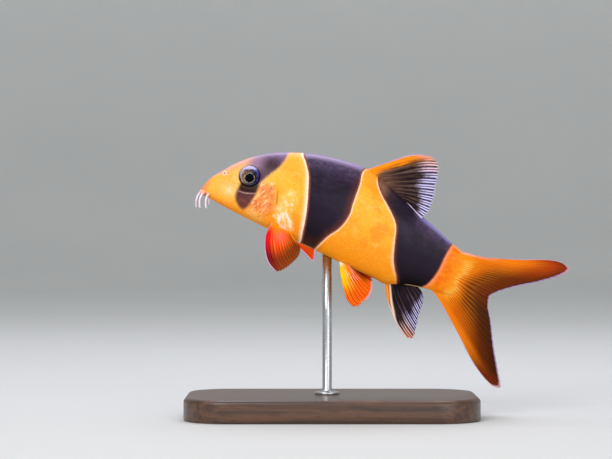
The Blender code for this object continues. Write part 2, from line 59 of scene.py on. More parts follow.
# Body stations: back point (u, v), belly point (u, v), half width, and the widest line's share of the depth
STATIONS = np.array(
    (
        (0.00, 0.60, 0.05, -0.05, 0.30, 0.50),
        (0.10, 2.0, 0.50, -0.40, 1.25, 0.44),
        (1.00, 4.4, 1.90, -0.45, 1.95, 0.44),
        (2.80, 7.1, 4.20, -0.85, 2.75, 0.43),
        (5.30, 10.6, 7.50, -1.15, 3.60, 0.43),
        (8.60, 14.0, 11.5, -1.35, 4.55, 0.44),
        (12.6, 17.0, 15.8, -1.50, 5.40, 0.44),
        (17.2, 19.4, 20.6, -1.60, 6.05, 0.44),
        (23.5, 21.9, 26.0, -1.55, 6.40, 0.44),
        (30.5, 23.5, 31.8, -1.45, 6.40, 0.44),
        (37.4, 24.2, 37.8, -1.50, 6.05, 0.44),
        (44.5, 22.7, 44.4, -1.60, 5.35, 0.45),
        (51.0, 20.6, 50.6, -1.55, 4.50, 0.46),
        (57.3, 18.8, 56.2, -1.00, 3.60, 0.48),
        (62.6, 17.2, 61.3, 0.70, 2.80, 0.50),
        (67.0, 15.8, 65.9, 1.75, 2.10, 0.50),
        (70.2, 14.9, 69.6, 2.20, 1.50, 0.50),
        (72.2, 13.9, 72.0, 2.80, 0.90, 0.50),
    )
)
BACK_ROUNDNESS = 2.0
BELLY_ROUNDNESS = 2.7
NECK_AT = 7.0
GILL_BOW = 1.3
GILL_BOW_SPREAD = 1.2
SKIN_INSET = 0.015
FLANK_FROM = 1.5

# The skin's mesh: spacing of its rows at points along the body, points round each row, and the wedge that ends it
# between the tail's roots
ROW_SPACING = ((0, 5, 8, 20, 24, 80), (0.085, 0.10, 0.13, 0.14, 0.27, 0.29))
AROUND = 240
NOSE_TIP = 0.12
TAIL_WEDGE = 3.2
TAIL_WEDGE_ROWS = 14
TAIL_WEDGE_EDGE = 0.05
TAIL_WEDGE_BOW = 0.55
TAIL_WEDGE_PINCH = 1.2

# Eyes
EYE_AT = (10.3, 9.1)
EYE_RADIUS = 2.78
EYE_DEPTH = 2.0
EYE_SINK = 1.12
EYE_WRAP = 0.62 * math.pi
CORNEA_BULGE = 0.16
CORNEA_SPREAD = 1.5
PUPIL_AT = (0.22, -0.46)
PUPIL_RADIUS = 1.2
SOCKET_RADIUS = 2.86
SOCKET_RIM = 0.12
SOCKET_HOLLOW = 0.16
SOCKET_FLOOR = 0.5

# Head, in (u, v). Nostrils: place, radius, height of the rim, depth of the pit
NOSTRILS = (((4.0, 6.95), 0.46, 0.36, 0.40), ((4.85, 7.6), 0.34, 0.08, 0.16))
GILL_EDGE = (
    (14.9, 13.4), (16.6, 12.3), (18.0, 10.6), (18.8, 8.6), (19.6, 6.4),
    (20.2, 4.4), (19.9, 2.6), (18.4, 1.0), (16.0, -0.1), (13.0, -0.9),
)
GILL_LIFT = 0.3
GILL_GROOVE = 0.12
CHEEK_EDGE = ((13.6, 8.2), (14.6, 6.2), (14.9, 4.2), (14.2, 2.4), (12.4, 1.0))
CHEEK_LIFT = 0.12
SPINE_SLOT = ((8.7, 4.95), (10.3, 5.0), (12.1, 5.5), (14.0, 6.3))
SLOT_DEPTH = 0.26
SLOT_LIP = ((9.1, 4.3), (10.6, 4.4), (12.2, 4.9), (13.8, 5.55))
SLOT_LIP_HEIGHT = 0.16
MOUTH_CENTRE_U = 2.75
MOUTH_RADIUS = 1.55
MOUTH_HALF_ARC = math.radians(75)
MOUTH_DEPTH = 0.55
LIP_RADIUS = 0.48
LIP_FADE = 0.35
LIP_SPACING = 0.74
LIP_SHIFT = 0.45
LIP_SHRINK = 0.55
LIP_V = -0.32
LIP_SLOPE = 0.38
LIP_CORNER_RISE = 0.25

# Swellings at the fins' roots: middle, half widths, height. In (u, v) for the pectoral fins, (u, w) for the rest
PECTORAL_MOUND = ((23.0, 0.7), (1.9, 1.7), 0.35)
PELVIC_MOUND = ((42, 2.2), (1.8, 1.2), 0.25)
ANAL_MOUND = ((54.6, 0), (2.2, 1.6), 0.5)
SHOULDER_RIDGE = ((20.9, 5.2), (22.6, 2.8), (25.2, 0.6))
SHOULDER_RIDGE_HEIGHT = 0.12
LATERAL_LINE_HEIGHT = 0.02

# Barbels: root (u, w, v), elbow and tip, root radius
BARBELS = {
    "rostral_inner": ((0.35, 0.50, 0.15), (-0.85, 0.80, -2.0), (0.85, 0.95, -4.5), 0.40),
    "rostral_outer": ((0.95, 1.15, 0.15), (0.25, 1.90, -2.0), (1.75, 2.15, -4.2), 0.40),
    "maxillary": ((2.30, 1.75, 0.15), (2.00, 2.80, -1.7), (3.35, 3.0, -3.6), 0.38),
    "mandibular": ((2.95, 0.50, -0.80), (3.10, 0.75, -1.8), (3.7, 0.95, -2.35), 0.32),
}
BARBEL_TIP = 0.30
BARBEL_ROOT_SWELLING = 0.45

# Dark bands: front edge downwards, then rear edge upwards, in (u, v)
HEAD_BAND = (
    (8.6, 18.5), (9.0, 14.6), (8.6, 12.4), (8.7, 9.0), (8.8, 6.0), (8.8, 4.6), (8.9, 3.2), (9.4, 1.9), (10.6, 0.8),
    (12.0, 0.25), (12.9, 0.6), (13.6, 2.7), (13.9, 5.6), (13.9, 7.4), (13.8, 8.7), (14.8, 11.2), (16.2, 13.9),
    (16.9, 16.1), (17.2, 19.1), (17.6, 23.0),
)
SHOULDER_BAND = (
    (20.2, 25.5), (20.6, 20.8), (22.2, 18.8), (24.4, 15.9), (26.3, 11.5), (27.6, 8.0), (28.6, 4.7), (29.4, 1.4),
    (29.9, -0.5), (30.4, -3.0), (33.6, -3.0), (34.2, -1.0), (35.9, 3.3), (37.5, 6.0), (38.4, 8.6), (38.7, 11.4),
    (38.3, 13.9), (37.8, 19.2), (37.1, 22.6), (36.9, 27.0),
)
TAIL_BAND = (
    (40.6, 26.5), (41.6, 22.6), (43.6, 20.0), (46.7, 17.6), (49.7, 15.2), (51.4, 13.1), (52.7, 9.4), (54.2, 5.4),
    (55.7, 3.0), (57.0, 1.3), (58.0, -0.7), (58.8, -3.5), (67.0, -2.0), (64.7, 1.3), (65.5, 2.8), (66.3, 5.2),
    (66.7, 8.2), (66.7, 11.4), (67.1, 15.6), (67.5, 19.0),
)

# Fin rays: how many, and how far out they fork
DORSAL_RAYS, DORSAL_FORK = 13, 0.36
ANAL_RAYS, ANAL_FORK = 10, 0.34
TAIL_RAYS, TAIL_FORK = 16, 0.30
PECTORAL_RAYS, PECTORAL_FORK = 14, 0.36
PELVIC_RAYS, PELVIC_FORK = 10, 0.36
RAY_FORK = 0.21
RAY_FORK_LENGTH = 0.4
RAY_WIDTH = 0.17
RAY_NARROWING = 0.06

# Fin meshes: columns of points for each ray, and thicknesses at the root with what they lose towards the margin
PER_RAY = 24
MEMBRANE_THICK, MEMBRANE_THINNING = 0.15, 0.08
RAY_THICK, RAY_THINNING = 0.22, 0.17
LEAD_THICK, LEAD_THINNING = 0.18, 0.6
ROOT_REACH = 0.26
LEAD_WIDTH = 0.02
RIPPLE = 0.05

# Frayed margins: how far they are worn back between rays, off a ray's branches and at random, and a notch's width
FRAY_BETWEEN = 0.34
FRAY_OFF_BRANCH = 0.12
FRAY_RANDOM = 0.05
NOTCH_WIDTH = 0.07

# Fin edges on the middle plane, in (u, v)
DORSAL = {
    "root": ((37.0, 23.2), (43.8, 21.6), (49.8, 19.9)),
    "lead": ((43.0, 29.0), (45.9, 31.7), (48.8, 33.5)),
    "margin": ((51.6, 34.4), (54.0, 33.8), (55.5, 31.6), (56.4, 28.0), (57.5, 23.6), (57.5, 20.6), (56.6, 18.2)),
    "trail": ((51.6, 20.3), (53.3, 19.65), (55.0, 18.85)),
}
ANAL = {
    "root": ((54.4, -0.6), (58.0, 1.0), (61.6, 2.0)),
    "lead": ((57.5, -5.2), (59.7, -7.5), (62.4, -10.0), (64.8, -11.5)),
    "margin": ((66.7, -12.45), (68.2, -11.6), (67.9, -9.0), (67.1, -5.5), (66.9, -2.6), (66.2, -0.5)),
    "trail": ((64.6, 0.9),),
}
CAUDAL_UPPER = {
    "root": ((68.4, 14.4), (70.9, 11.8), (71.1, 7.9)),
    "lead": ((71.9, 15.2), (76.2, 16.05), (80.3, 17.5), (85.7, 19.65), (91.3, 22.3), (94.6, 23.4)),
    "margin": ((97.4, 23.7), (99.2, 22.85), (97.6, 20.4), (93.2, 16.6), (88.6, 13.3), (84.3, 9.7), (82.2, 7.2)),
    "trail": ((76.6, 7.65),),
}
CAUDAL_LOWER = {
    "root": ((65.4, 3.2), (70.4, 5.0), (71.1, 7.9)),
    "lead": ((68.2, 1.65), (70.9, 0.1), (75.4, -3.1), (79.7, -6.3), (85.2, -10.5), (89.7, -13.1)),
    "margin": ((93.4, -14.5), (95.5, -13.8), (93.1, -10.2), (89.3, -4.9), (85.5, 1.2), (83.2, 4.4), (82.2, 7.2)),
    "trail": ((76.6, 7.65),),
}
TAIL_SHAPE = {"gather": 1.25, "straight": 1.6}
TAIL_PARTING = 7.9
TAIL_RAYS_FROM = 66.0
TAIL_GUIDE = (181, 81)

# Paired fins laid flat, in (chord, reach) from the middle of the root
PECTORAL_SPREAD = {
    "root": ((-2.0, -0.3), (0.0, 0.0), (2.0, 0.3)),
    "lead": ((-2.3, 2.9), (-2.0, 5.3), (-0.5, 9.0), (1.6, 11.8)),
    "margin": ((4.3, 13.4), (5.7, 12.3), (7.0, 9.9), (7.9, 7.3), (8.1, 5.3), (7.5, 3.4)),
    "trail": ((5.0, 1.7),),
}
PECTORAL_FOLDED = {
    "root": ((-1.4, -0.4), (0.0, 0.0), (1.6, 0.3)),
    "lead": ((-0.7, 4.0), (0.2, 9.0)),
    "margin": ((0.6, 14.2), (2.2, 13.3), (3.8, 11.6), (5.0, 9.0), (5.3, 6.2)),
    "trail": ((3.4, 2.8),),
}
PELVIC_SPREAD = {
    "root": ((-0.8, 0.0), (0.0, 0.1), (0.8, 0.2)),
    "lead": ((1.8, 3.6), (4.5, 7.3), (6.3, 9.2)),
    "margin": ((8.5, 10.1), (10.0, 8.7), (11.0, 6.4), (11.1, 3.9), (10.3, 1.7)),
    "trail": ((6.0, 1.0),),
}

# Each paired fin: its flat form, the middle of its root, the ways its reach and chord run, how far its root is sunk
PAIRED = {
    "pectoral_fin_left": (PECTORAL_SPREAD, (23.0, 4.6, 0.4), (0, 0.5, -0.866), (1, 0, 0), (0, -0.9, 1.3)),
    "pectoral_fin_right": (
        PECTORAL_FOLDED, (22.8, -4.7, 0.6), (0.909, -0.154, -0.385), (0.266, -0.495, 0.827), (0, 1.7, 0.6),
    ),
    "pelvic_fin_left": (PELVIC_SPREAD, (41.6, 2.0, -1.3), (0, 0.3, -0.954), (1, 0, 0), (0, -0.3, 1.3)),
    "pelvic_fin_right": (PELVIC_SPREAD, (41.6, -2.0, -1.3), (0.1, -0.42, -0.9), (0.94, 0, 0.1), (0, 0.3, 1.3)),
}
PAIRED_CURL = 0.8

# Stand. The foot of the base's edge is given as (inset, height) pairs
BASE_LENGTH = 78.0
BASE_DEPTH = 46.0
BASE_HEIGHT = 6.0
BASE_CORNER = 12.0
BASE_ROUNDING = 1.1
BASE_FOOT = [(0.45, 0.0), (0.15, 0.15), (0.0, 0.45), (0.0, 2.6), (0.0, BASE_HEIGHT - BASE_ROUNDING)]
CORNER_POINTS = 25
ROD_RADIUS = 1.25
ROD_AT_U = 38.0
ROD_INTO_BODY = 1.5
POST_SIDES = 64
SWEEP_SIDES = 96

# Studio: name, place, size, power and colour of each lamp, and the point they shine at
LAMPS = (
    ("key_light", (-0.28, -0.58, 0.42), 0.55, 3.2, (1.0, 0.98, 0.95)),
    ("fill_light", (0.36, -0.64, 0.06), 0.60, 1.9, (0.98, 0.98, 1.0)),
    ("top_light", (0.02, 0.22, 0.55), 0.40, 1.7, (0.86, 0.86, 1.0)),
)
LAMPS_AIM = Vector((0.01, 0, 0.045))
AIR_COLOUR = (0.93, 0.95, 1.0, 1)
AIR_STRENGTH = 0.68

# Camera: the picture's pixels, the millimetres of one of them at the fish, and the pixel of the snout tip
PICTURE = (612, 459)
PIXEL = 0.2674
SNOUT_PIXEL = (200.7, 191.0)
CAMERA_AWAY = 600.0
SENSOR = 36.0


def swing(u):
    """How far the body is bent to its right at u."""
    return TAIL_SWING * (np.maximum(u - BEND_START, 0) / BEND_REACH) ** 2


def fish_to_world(points):
    """Points (u, w, v) of the fish's frame, in millimetres, as world points in metres."""
    u, w, v = np.asarray(points, float).reshape(-1, 3).T
    x = SNOUT_X + u * math.cos(PITCH) + v * math.sin(PITCH)
    z = SNOUT_Z - u * math.sin(PITCH) + v * math.cos(PITCH)
    return np.stack([x, swing(u) - w, z], axis=1) * MM


def ease(x, low, high):
    """0 below low, 1 above high, and a smooth rise between."""
    t = np.clip((x - low) / (high - low), 0, 1)
    return t * t * (3 - 2 * t)


def plateau(x, start, top, edge, end):
    """1 from top to edge, falling smoothly to 0 at start and end."""
    return ease(x, start, top) * ease(-x, -end, -edge)


def bell(x, width):
    """1 at 0, falling off smoothly to both sides within about twice this width."""
    return np.exp(-((x / width) ** 2))


def mound(x, y, middle, widths, height):
    return height * bell(x - middle[0], widths[0]) * bell(y - middle[1], widths[1])


def curve(points, at):
    """A smooth curve through evenly numbered points, read at these numbers."""
    points = np.asarray(points, float)
    at = np.clip(np.asarray(at, float), 0, len(points) - 1)
    i = np.minimum(at.astype(int), len(points) - 2)
    t = (at - i)[:, None]
    padded = np.vstack([2 * points[0] - points[1], points, 2 * points[-1] - points[-2]])
    a, b, c, d = (padded[i + k] for k in range(4))
    return b + 0.5 * t * (c - a + t * (2 * a - 5 * b + 4 * c - d + t * (3 * (b - c) + d - a)))


def distances(line):
    """How far along a line each of its points lies, by its first three coordinates."""
    return np.concatenate([[0], np.cumsum(norm(np.diff(line[:, :3], axis=0), axis=1))])


def spaced(line, shares):
    """Points at these shares of a line's length."""
    run = distances(line)
    return np.stack([np.interp(np.asarray(shares) * run[-1], run, axis) for axis in line.T], axis=1)


def along(points, shares):
    """Points at these shares of the length of a smooth curve through the given points."""
    return spaced(curve(points, np.linspace(0, len(points) - 1, 400)), shares)


def nearest_on(line, points):
    """The nearest point of a line to each point, and its share of the line's length."""
    line = np.asarray(line, float)
    run = distances(line)
    gap, spot, share = np.full(len(points), np.inf), np.zeros(points.shape), np.zeros(len(points))
    for a, b, start, stop in zip(line[:-1], line[1:], run[:-1], run[1:]):
        t = np.clip((points - a) @ (b - a) / ((b - a) @ (b - a)), 0, 1)
        foot = a + t[:, None] * (b - a)
        away = norm(points - foot, axis=1)
        closer = away < gap
        gap[closer], spot[closer] = away[closer], foot[closer]
        share[closer] = ((start + t * (stop - start)) / run[-1])[closer]
    return spot, share


def side_distance(line, points):
    """Distance of (u, v) points from a smooth open line, positive in front of it (lower u) where it runs down."""
    line = along(line, np.linspace(0, 1, 40))
    spot, share = nearest_on(line, points)
    ahead = along(line, np.clip(share + 0.01, 0, 1)) - along(line, np.clip(share - 0.01, 0, 1))
    away = points - spot
    side = np.sign(ahead[:, 1] * away[:, 0] - ahead[:, 0] * away[:, 1])
    return side * norm(away, axis=1), share


def depth_inside(outline, points):
    """How deep (u, v) points lie inside a closed smooth outline, negative outside it."""
    line = along([*outline, outline[0]], np.linspace(0, 1, 160))
    spot, _ = nearest_on(line, points)
    inside = np.zeros(len(points), bool)
    for a, b in zip(line[:-1], line[1:]):
        spans = (a[1] > points[:, 1]) != (b[1] > points[:, 1])
        reach = a[0] + (points[:, 1] - a[1]) / (b[1] - a[1] + 1e-12) * (b[0] - a[0])
        inside ^= spans & (points[:, 0] < reach)
    return np.where(inside, 1, -1) * norm(points - spot, axis=1)


def body_rows(ats):
    """The body's surface, [row, place round it], as points (u, w, v), and each point's share of the depth."""
    back_u, back_v, belly_u, belly_v, half_width, waist = curve(STATIONS, ats).T[:, :, None]
    belly, back = np.stack([belly_u, belly_v]), np.stack([back_u, back_v])
    depth = norm(back - belly, axis=0)
    up = (back - belly) / depth
    turn = np.linspace(0, np.pi, 500)[None]
    rise, out = -np.cos(turn), np.sin(turn)
    power = 2 / np.where(rise > 0, BACK_ROUNDNESS, BELLY_ROUNDNESS)
    rise, out = np.sign(rise) * np.abs(rise) ** power, np.abs(out) ** power
    height = waist * depth + np.where(rise > 0, (1 - waist) * depth * rise, waist * depth * rise)
    bow = GILL_BOW * bell(ats[:, None] - NECK_AT, GILL_BOW_SPREAD) * (1 - rise**2)
    half = np.stack([belly[0] + up[0] * height + bow, out * half_width, belly[1] + up[1] * height, height / depth], 2)
    left = np.array([spaced(row, np.linspace(0, 1, AROUND // 2 + 1)) for row in half])
    right = left[:, -2:0:-1] * [1, -1, 1, 1]
    ring = np.concatenate([left, right], axis=1)
    return ring[:, :, :3], ring[:, :, 3]


def surface_normals(grid):
    """Outward normals of the body's grid of points."""
    ahead = np.gradient(grid, axis=0)
    round_about = np.roll(grid, -1, axis=1) - np.roll(grid, 1, axis=1)
    normal = np.cross(ahead, round_about)
    normal /= np.maximum(norm(normal, axis=2), 1e-9)[:, :, None]
    outward = grid - grid.mean(axis=1, keepdims=True)
    return normal * np.sign((normal * outward).sum(axis=2).mean())


def row_numbers():
    """Station numbers of the skin's rows, spaced as ROW_SPACING says along the body."""
    at = np.linspace(0, len(STATIONS) - 1, 4000)
    ends = curve(STATIONS, at)
    run = distances((ends[:, 0:2] + ends[:, 2:4]) / 2)
    rows = np.concatenate([[0], np.cumsum(np.diff(run) / np.interp(run[1:], *ROW_SPACING))])
    return np.interp(np.arange(int(rows[-1]) + 1) * rows[-1] / int(rows[-1]), rows, at)


def flank_point(grid, normals, at, side):
    """The grid's point seen at (u, v) on the left (1) or right (-1) flank, and its normal."""
    score = np.hypot(grid[:, :, 0] - at[0], grid[:, :, 2] - at[1]) + 100 * (grid[:, :, 1] * side < 0)
    spot = np.unravel_index(np.argmin(score), score.shape)
    return grid[spot], normals[spot]


def eye_centre(side):
    """The middle of one eye, sunk into the flank so that only its bulge stands out."""
    at = np.interp(EYE_AT[0], STATIONS[:, 0], range(len(STATIONS))) + np.linspace(-1, 3, 120)
    grid, _ = body_rows(np.clip(at, 0, len(STATIONS) - 1))
    point, _ = flank_point(grid, np.zeros(grid.shape), EYE_AT, 1)
    return np.array([EYE_AT[0], side * (point[1] - EYE_SINK), EYE_AT[1]])


def lip_path(back):
    """The mouth's arc on the underside of the snout, drawn back by some millimetres."""
    turn = np.linspace(-MOUTH_HALF_ARC, MOUTH_HALF_ARC, 31)
    radius = MOUTH_RADIUS - back * LIP_SHRINK
    u = MOUTH_CENTRE_U + back * LIP_SHIFT - radius * np.cos(turn)
    v = LIP_V - LIP_SLOPE * back + LIP_CORNER_RISE * (1 - np.cos(turn))
    return np.stack([u, radius * np.sin(turn), v], axis=1)


def swell_lips(grid):
    """Pushes the underside of the snout out over the two lips, and in along the mouth between them."""
    near = grid[:, :, 0] < 6
    points = grid[near]
    for back in (0, 2 * LIP_SPACING):
        spot, share = nearest_on(lip_path(back), points)
        radius = LIP_RADIUS * (1 - LIP_FADE * (2 * share - 1) ** 2)
        away = points - spot
        gap = norm(away, axis=1)
        swollen = 0.5 * (gap + radius + np.sqrt((gap - radius) ** 2 + 0.02))
        swollen = gap + (swollen - gap) * (1 - ease(gap, 0.5, 1.3))
        points = spot + away / np.maximum(gap, 0.03)[:, None] * swollen[:, None]
    spot, share = nearest_on(lip_path(LIP_SPACING), points)
    gap = np.hypot(points[:, 0] - spot[:, 0], points[:, 1] - spot[:, 1])
    below = points[:, 2] < 0.6
    points[:, 2] += MOUTH_DEPTH * bell(gap, 0.16) * (0.5 + 0.5 * plateau(share, 0, 0.12, 0.88, 1)) * below
    grid[near] = points
    # the mouth's line, which the skin darkens as painted shade
    mouth = np.zeros(grid.shape[:2])
    mouth[near] = bell(gap, 0.26) * below
    return mouth


def press_sockets(grid):
    """Gathers the skin's points round each eyeball and sinks those under it."""
    for side in (1, -1):
        eye = eye_centre(side)
        mine = (grid[:, :, 1] * side > 0) & (np.hypot(grid[:, :, 0] - eye[0], grid[:, :, 2] - eye[2]) < 4)
        points = grid[mine]
        across = points[:, [0, 2]] - eye[[0, 2]]
        gap = np.hypot(*across.T)
        crowd = 1 + (SOCKET_RADIUS - gap) / gap * bell(gap - SOCKET_RADIUS, 0.13)
        across *= crowd[:, None]
        gap *= crowd
        floor = eye[1] * side - SOCKET_FLOOR
        sunk = ease(-gap, -SOCKET_RADIUS - 0.04, -SOCKET_RADIUS + 0.22)
        points[:, 1] = side * (np.abs(points[:, 1]) * (1 - sunk) + floor * sunk)
        points[:, [0, 2]] = across + eye[[0, 2]]
        grid[mine] = points


def sculpt(grid, share):
    """Works the head's forms and the fins' roots into the body's grid. Returns maps for its paint: distance from the
    gill cover's edge, distance from the eye, painted shade in the nostril pits and along the mouth, the spine's slot,
    and pale rims."""
    normals = surface_normals(grid)
    shape = grid.shape[:2]
    flat = grid.reshape(-1, 3)
    seen = flat[:, [0, 2]]
    u, w, v = flat.T.copy()
    sides = np.abs(w) > FLANK_FROM

    gill, gill_share = side_distance(GILL_EDGE, seen)
    open_slit = plateau(v, 3.2, 6.0, 8.0, 10.5)
    lift = GILL_LIFT * ease(-gill, -6.5, -0.9) * ease(gill, -0.1, 0.5 - 0.2 * open_slit) * ease(u, 10, 15)
    lift -= GILL_GROOVE * bell(gill + 0.14, 0.16) * (0.1 + 0.9 * open_slit)
    bulge = lift * plateau(gill_share, 0.02, 0.3, 0.62, 0.98)

    cheek, cheek_share = side_distance(CHEEK_EDGE, seen)
    step = plateau(cheek, -0.1, 0.25, 0.3, 3.0) - bell(cheek + 0.1, 0.15)
    bulge += CHEEK_LIFT * step * np.sin(np.pi * cheek_share)

    spot, slot_share = nearest_on(along(SPINE_SLOT, np.linspace(0, 1, 20)), seen)
    slot_gap = norm(seen - spot, axis=1)
    spot, _ = nearest_on(along(SLOT_LIP, np.linspace(0, 1, 20)), seen)
    lip_gap = norm(seen - spot, axis=1)
    slot_ends = np.sin(np.pi * np.clip(slot_share, 0.02, 0.98)) ** 0.6 * sides
    bulge += (SLOT_LIP_HEIGHT * bell(lip_gap, 0.35) - SLOT_DEPTH * bell(slot_gap, 0.24)) * slot_ends

    spot, _ = nearest_on(SHOULDER_RIDGE, seen)
    bulge += mound(u, v, *PECTORAL_MOUND) + SHOULDER_RIDGE_HEIGHT * bell(norm(seen - spot, axis=1), 0.7)
    eye_gap = np.hypot(u - EYE_AT[0], v - EYE_AT[1])
    bulge += SOCKET_RIM * bell(eye_gap - SOCKET_RADIUS - 0.32, 0.24)
    bulge -= SOCKET_HOLLOW * ease(-eye_gap, -SOCKET_RADIUS - 2.4, -SOCKET_RADIUS)
    bulge *= sides
    bulge += mound(u, np.abs(w), *PELVIC_MOUND) * (v < 1) + mound(u, w, *ANAL_MOUND) * (v < 2)
    bulge += LATERAL_LINE_HEIGHT * bell(share.ravel() - 0.5, 0.008) * plateau(u, 20, 24, 66, 71)

    pits, pale = np.zeros(len(flat)), bell(lip_gap, 0.16) * slot_ends
    for side in (1, -1):
        for at, size, rim, pit in NOSTRILS:
            centre, out = flank_point(grid, normals, at, side)
            away = flat - centre
            gap = norm(away - (away @ out)[:, None] * out, axis=1)
            near = (norm(away, axis=1) < 2) & (w * side > 0)
            ring = near * bell(gap - size, 0.25)
            bulge += rim * ring - near * pit * (1 - ease(gap, 0.1, size * 0.85))
            # painted shade inside each nostril's pit
            pits += near * (1 - ease(gap, 0.1, size * 0.75)) * 0.8
            pale += ring * rim * 2.5

    grid += normals * (bulge.reshape(shape) - SKIN_INSET)[:, :, None]
    press_sockets(grid)
    mouth = swell_lips(grid)
    eye_gap = np.hypot(grid[:, :, 0] - EYE_AT[0], grid[:, :, 2] - EYE_AT[1])
    # painted shade in the nostril pits and along the mouth's line
    dark = np.clip(pits.reshape(shape) + mouth, 0, 1)
    slot = bell(slot_gap, 0.42) * slot_ends
    return gill.reshape(shape), eye_gap, dark, slot.reshape(shape), np.clip(pale, 0, 1).reshape(shape)


def grid_faces(rows, columns, closed=False, first=0):
    """Quads over a grid of points. A closed grid joins its last column to its first."""
    row = np.arange(rows - 1)[:, None] * columns
    column = np.arange(columns if closed else columns - 1)[None]
    after = (column + 1) % columns
    quads = np.stack([row + column, row + after, row + columns + after, row + columns + column], axis=2)
    return (quads.reshape(-1, 4) + first).tolist()


def fan(first, count, tip):
    """Triangles that close a ring of points over one tip."""
    return [(first + (k + 1) % count, first + k, tip) for k in range(count)]


def arc(x, y, radius, start, stop, count):
    """Points of an arc about (x, y), between two angles in quarter turns, without its first."""
    turns = np.linspace(start, stop, count)[1:] * math.pi / 2
    return [(x + radius * math.cos(turn), y + radius * math.sin(turn)) for turn in turns]


def turned(profile, sides, x=0.0, y=0.0):
    """Points and faces of a form turned about an upright axis from (radius, height) pairs, closed at its start."""
    turn = np.linspace(0, 2 * math.pi, sides, endpoint=False)
    points = [(x + r * math.cos(a), y + r * math.sin(a), z) for r, z in profile for a in turn]
    return points, grid_faces(len(profile), sides, closed=True) + [tuple(range(sides))]


def add_object(name, data):
    made = bpy.data.objects.new(name, data)
    bpy.context.scene.collection.objects.link(made)
    return made


def make_piece(name, points, faces, finish, slot, nodes, world=False, **attributes):
    """A smooth object from fish points and faces, with its finish, riding on the body in the place of these nodes."""
    mesh = bpy.data.meshes.new(name)
    points = np.asarray(points, float).reshape(-1, 3)
    mesh.from_pydata((points * MM if world else fish_to_world(points)).tolist(), [], faces)
    for key, values in attributes.items():
        layer = mesh.attributes.new(key, "FLOAT_VECTOR", "POINT")
        layer.data.foreach_set("vector", np.asarray(values, np.float32).ravel())
    bm = bmesh.new()
    bm.from_mesh(mesh)
    bmesh.ops.recalc_face_normals(bm, faces=bm.faces)
    bm.to_mesh(mesh)
    bm.free()
    mesh.shade_smooth()
    mesh.materials.append(finish)
    piece = add_object(name, mesh)
    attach(piece, "root")
    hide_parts(*nodes)


class Wire:
    """What one socket carries in a finish. Sums with wires and numbers add their Math nodes."""

    def __init__(self, finish, socket):
        self.finish = finish
        self.socket = socket

    def math(self, operation, *values):
        return self.finish.node("ShaderNodeMath", {"operation": operation}, dict(enumerate((self, *values))))

    def __add__(self, other):
        return self.math("ADD", other)

    def __mul__(self, other):
        return self.math("MULTIPLY", other)

    def __sub__(self, other):
        return self.math("SUBTRACT", other)

    def __rsub__(self, other):
        return self.math("MULTIPLY_ADD", -1.0, other)

    def __abs__(self):
        return self.math("ABSOLUTE")

    __radd__ = __add__
    __rmul__ = __mul__

    def top(self, other):
        return self.math("MAXIMUM", other)

    def rise(self, low, high):
        """0 below low, 1 above high, and a smooth rise between."""
        settings = {"interpolation_type": "SMOOTHSTEP", "clamp": True}
        return self.finish.node("ShaderNodeMapRange", settings, {0: self, 1: low, 2: high})

    def fall(self, low, high):
        """1 below low, 0 above high, and a smooth fall between."""
        return 1 - self.rise(low, high)

    def spike(self, centre, width):
        """1 at the centre, falling smoothly to 0 at this distance from it."""
        return abs(self - centre).fall(0, width)

    def split(self):
        return [self.finish.node("ShaderNodeSeparateXYZ", {}, {0: self}, axis) for axis in range(3)]


class Finish:
    """A material in the making: its main shader, and the nodes that feed it."""

    def __init__(self, name, **fixed):
        self.material = bpy.data.materials.new(name)
        self.material.use_nodes = True
        self.tree = self.material.node_tree
        self.shader = self.tree.nodes["Principled BSDF"]
        self.done(**fixed)

    def feed(self, socket, value):
        if isinstance(value, Wire):
            self.tree.links.new(value.socket, socket)
        else:
            socket.default_value = value

    def node(self, kind, settings, inputs, output=0):
        """Adds a node: its settings first, then the values or wires of its sockets."""
        made = self.tree.nodes.new(kind)
        for key, value in settings.items():
            setattr(made, key, value)
        for key, value in inputs.items():
            self.feed(made.inputs[key], value)
        return Wire(self, made.outputs[output])

    def attribute(self, name):
        return self.node("ShaderNodeAttribute", {"attribute_name": name}, {}, "Vector")

    def coordinates(self):
        return self.node("ShaderNodeTexCoord", {}, {}, "Object")

    def tint(self, colour):
        """A colour as the shader takes it, from a wire, or from a screen's red, green and blue, 0 to 255."""
        if isinstance(colour, Wire):
            return colour
        shares = np.array(colour) / 255
        return (*np.where(shares <= 0.04045, shares / 12.92, ((shares + 0.055) / 1.055) ** 2.4), 1.0)

    def layers(self, colour, *coats):
        """Lays coats over a colour. Each has its own colour and share."""
        for coat, share in coats:
            inputs = {0: share, 6: self.tint(colour), 7: self.tint(coat)}
            colour = self.node("ShaderNodeMix", {"data_type": "RGBA"}, inputs, 2)
        return colour

    def stretch(self, vector, scale):
        return self.node("ShaderNodeVectorMath", {"operation": "MULTIPLY"}, {0: vector, 1: scale})

    def noise(self, vector, scale, detail=2.0, roughness=0.5):
        inputs = {"Vector": vector, "Scale": scale, "Detail": detail, "Roughness": roughness}
        return self.node("ShaderNodeTexNoise", {}, inputs)

    def vector(self, x, y, z=0.0):
        return self.node("ShaderNodeCombineXYZ", {}, {0: x, 1: y, 2: z})

    def bump(self, height, depth):
        """Relief of this many millimetres where height goes from 0 to 1."""
        return self.node("ShaderNodeBump", {}, {"Height": height, "Strength": 1.0, "Distance": depth * MM})

    def done(self, **inputs):
        """Sets or wires the main shader's sockets."""
        for key, value in inputs.items():
            self.feed(self.shader.inputs[key.replace("_", " ").title().replace("Ior", "IOR")], value)
        return self.material


def stem_tint(f, place):
    """The tail stem's orange, shared by the skin and the foot of the tail fin."""
    u = place.split()[0]
    rough = f.noise(f.stretch(place, (0.8, 1.0, 1.6)), 0.8, 2, 0.6)
    return f.layers((250, 112, 0), ((254, 142, 2), rough.rise(0.36, 0.64)), ((253, 158, 22), u.rise(68.5, 72) * 0.7))


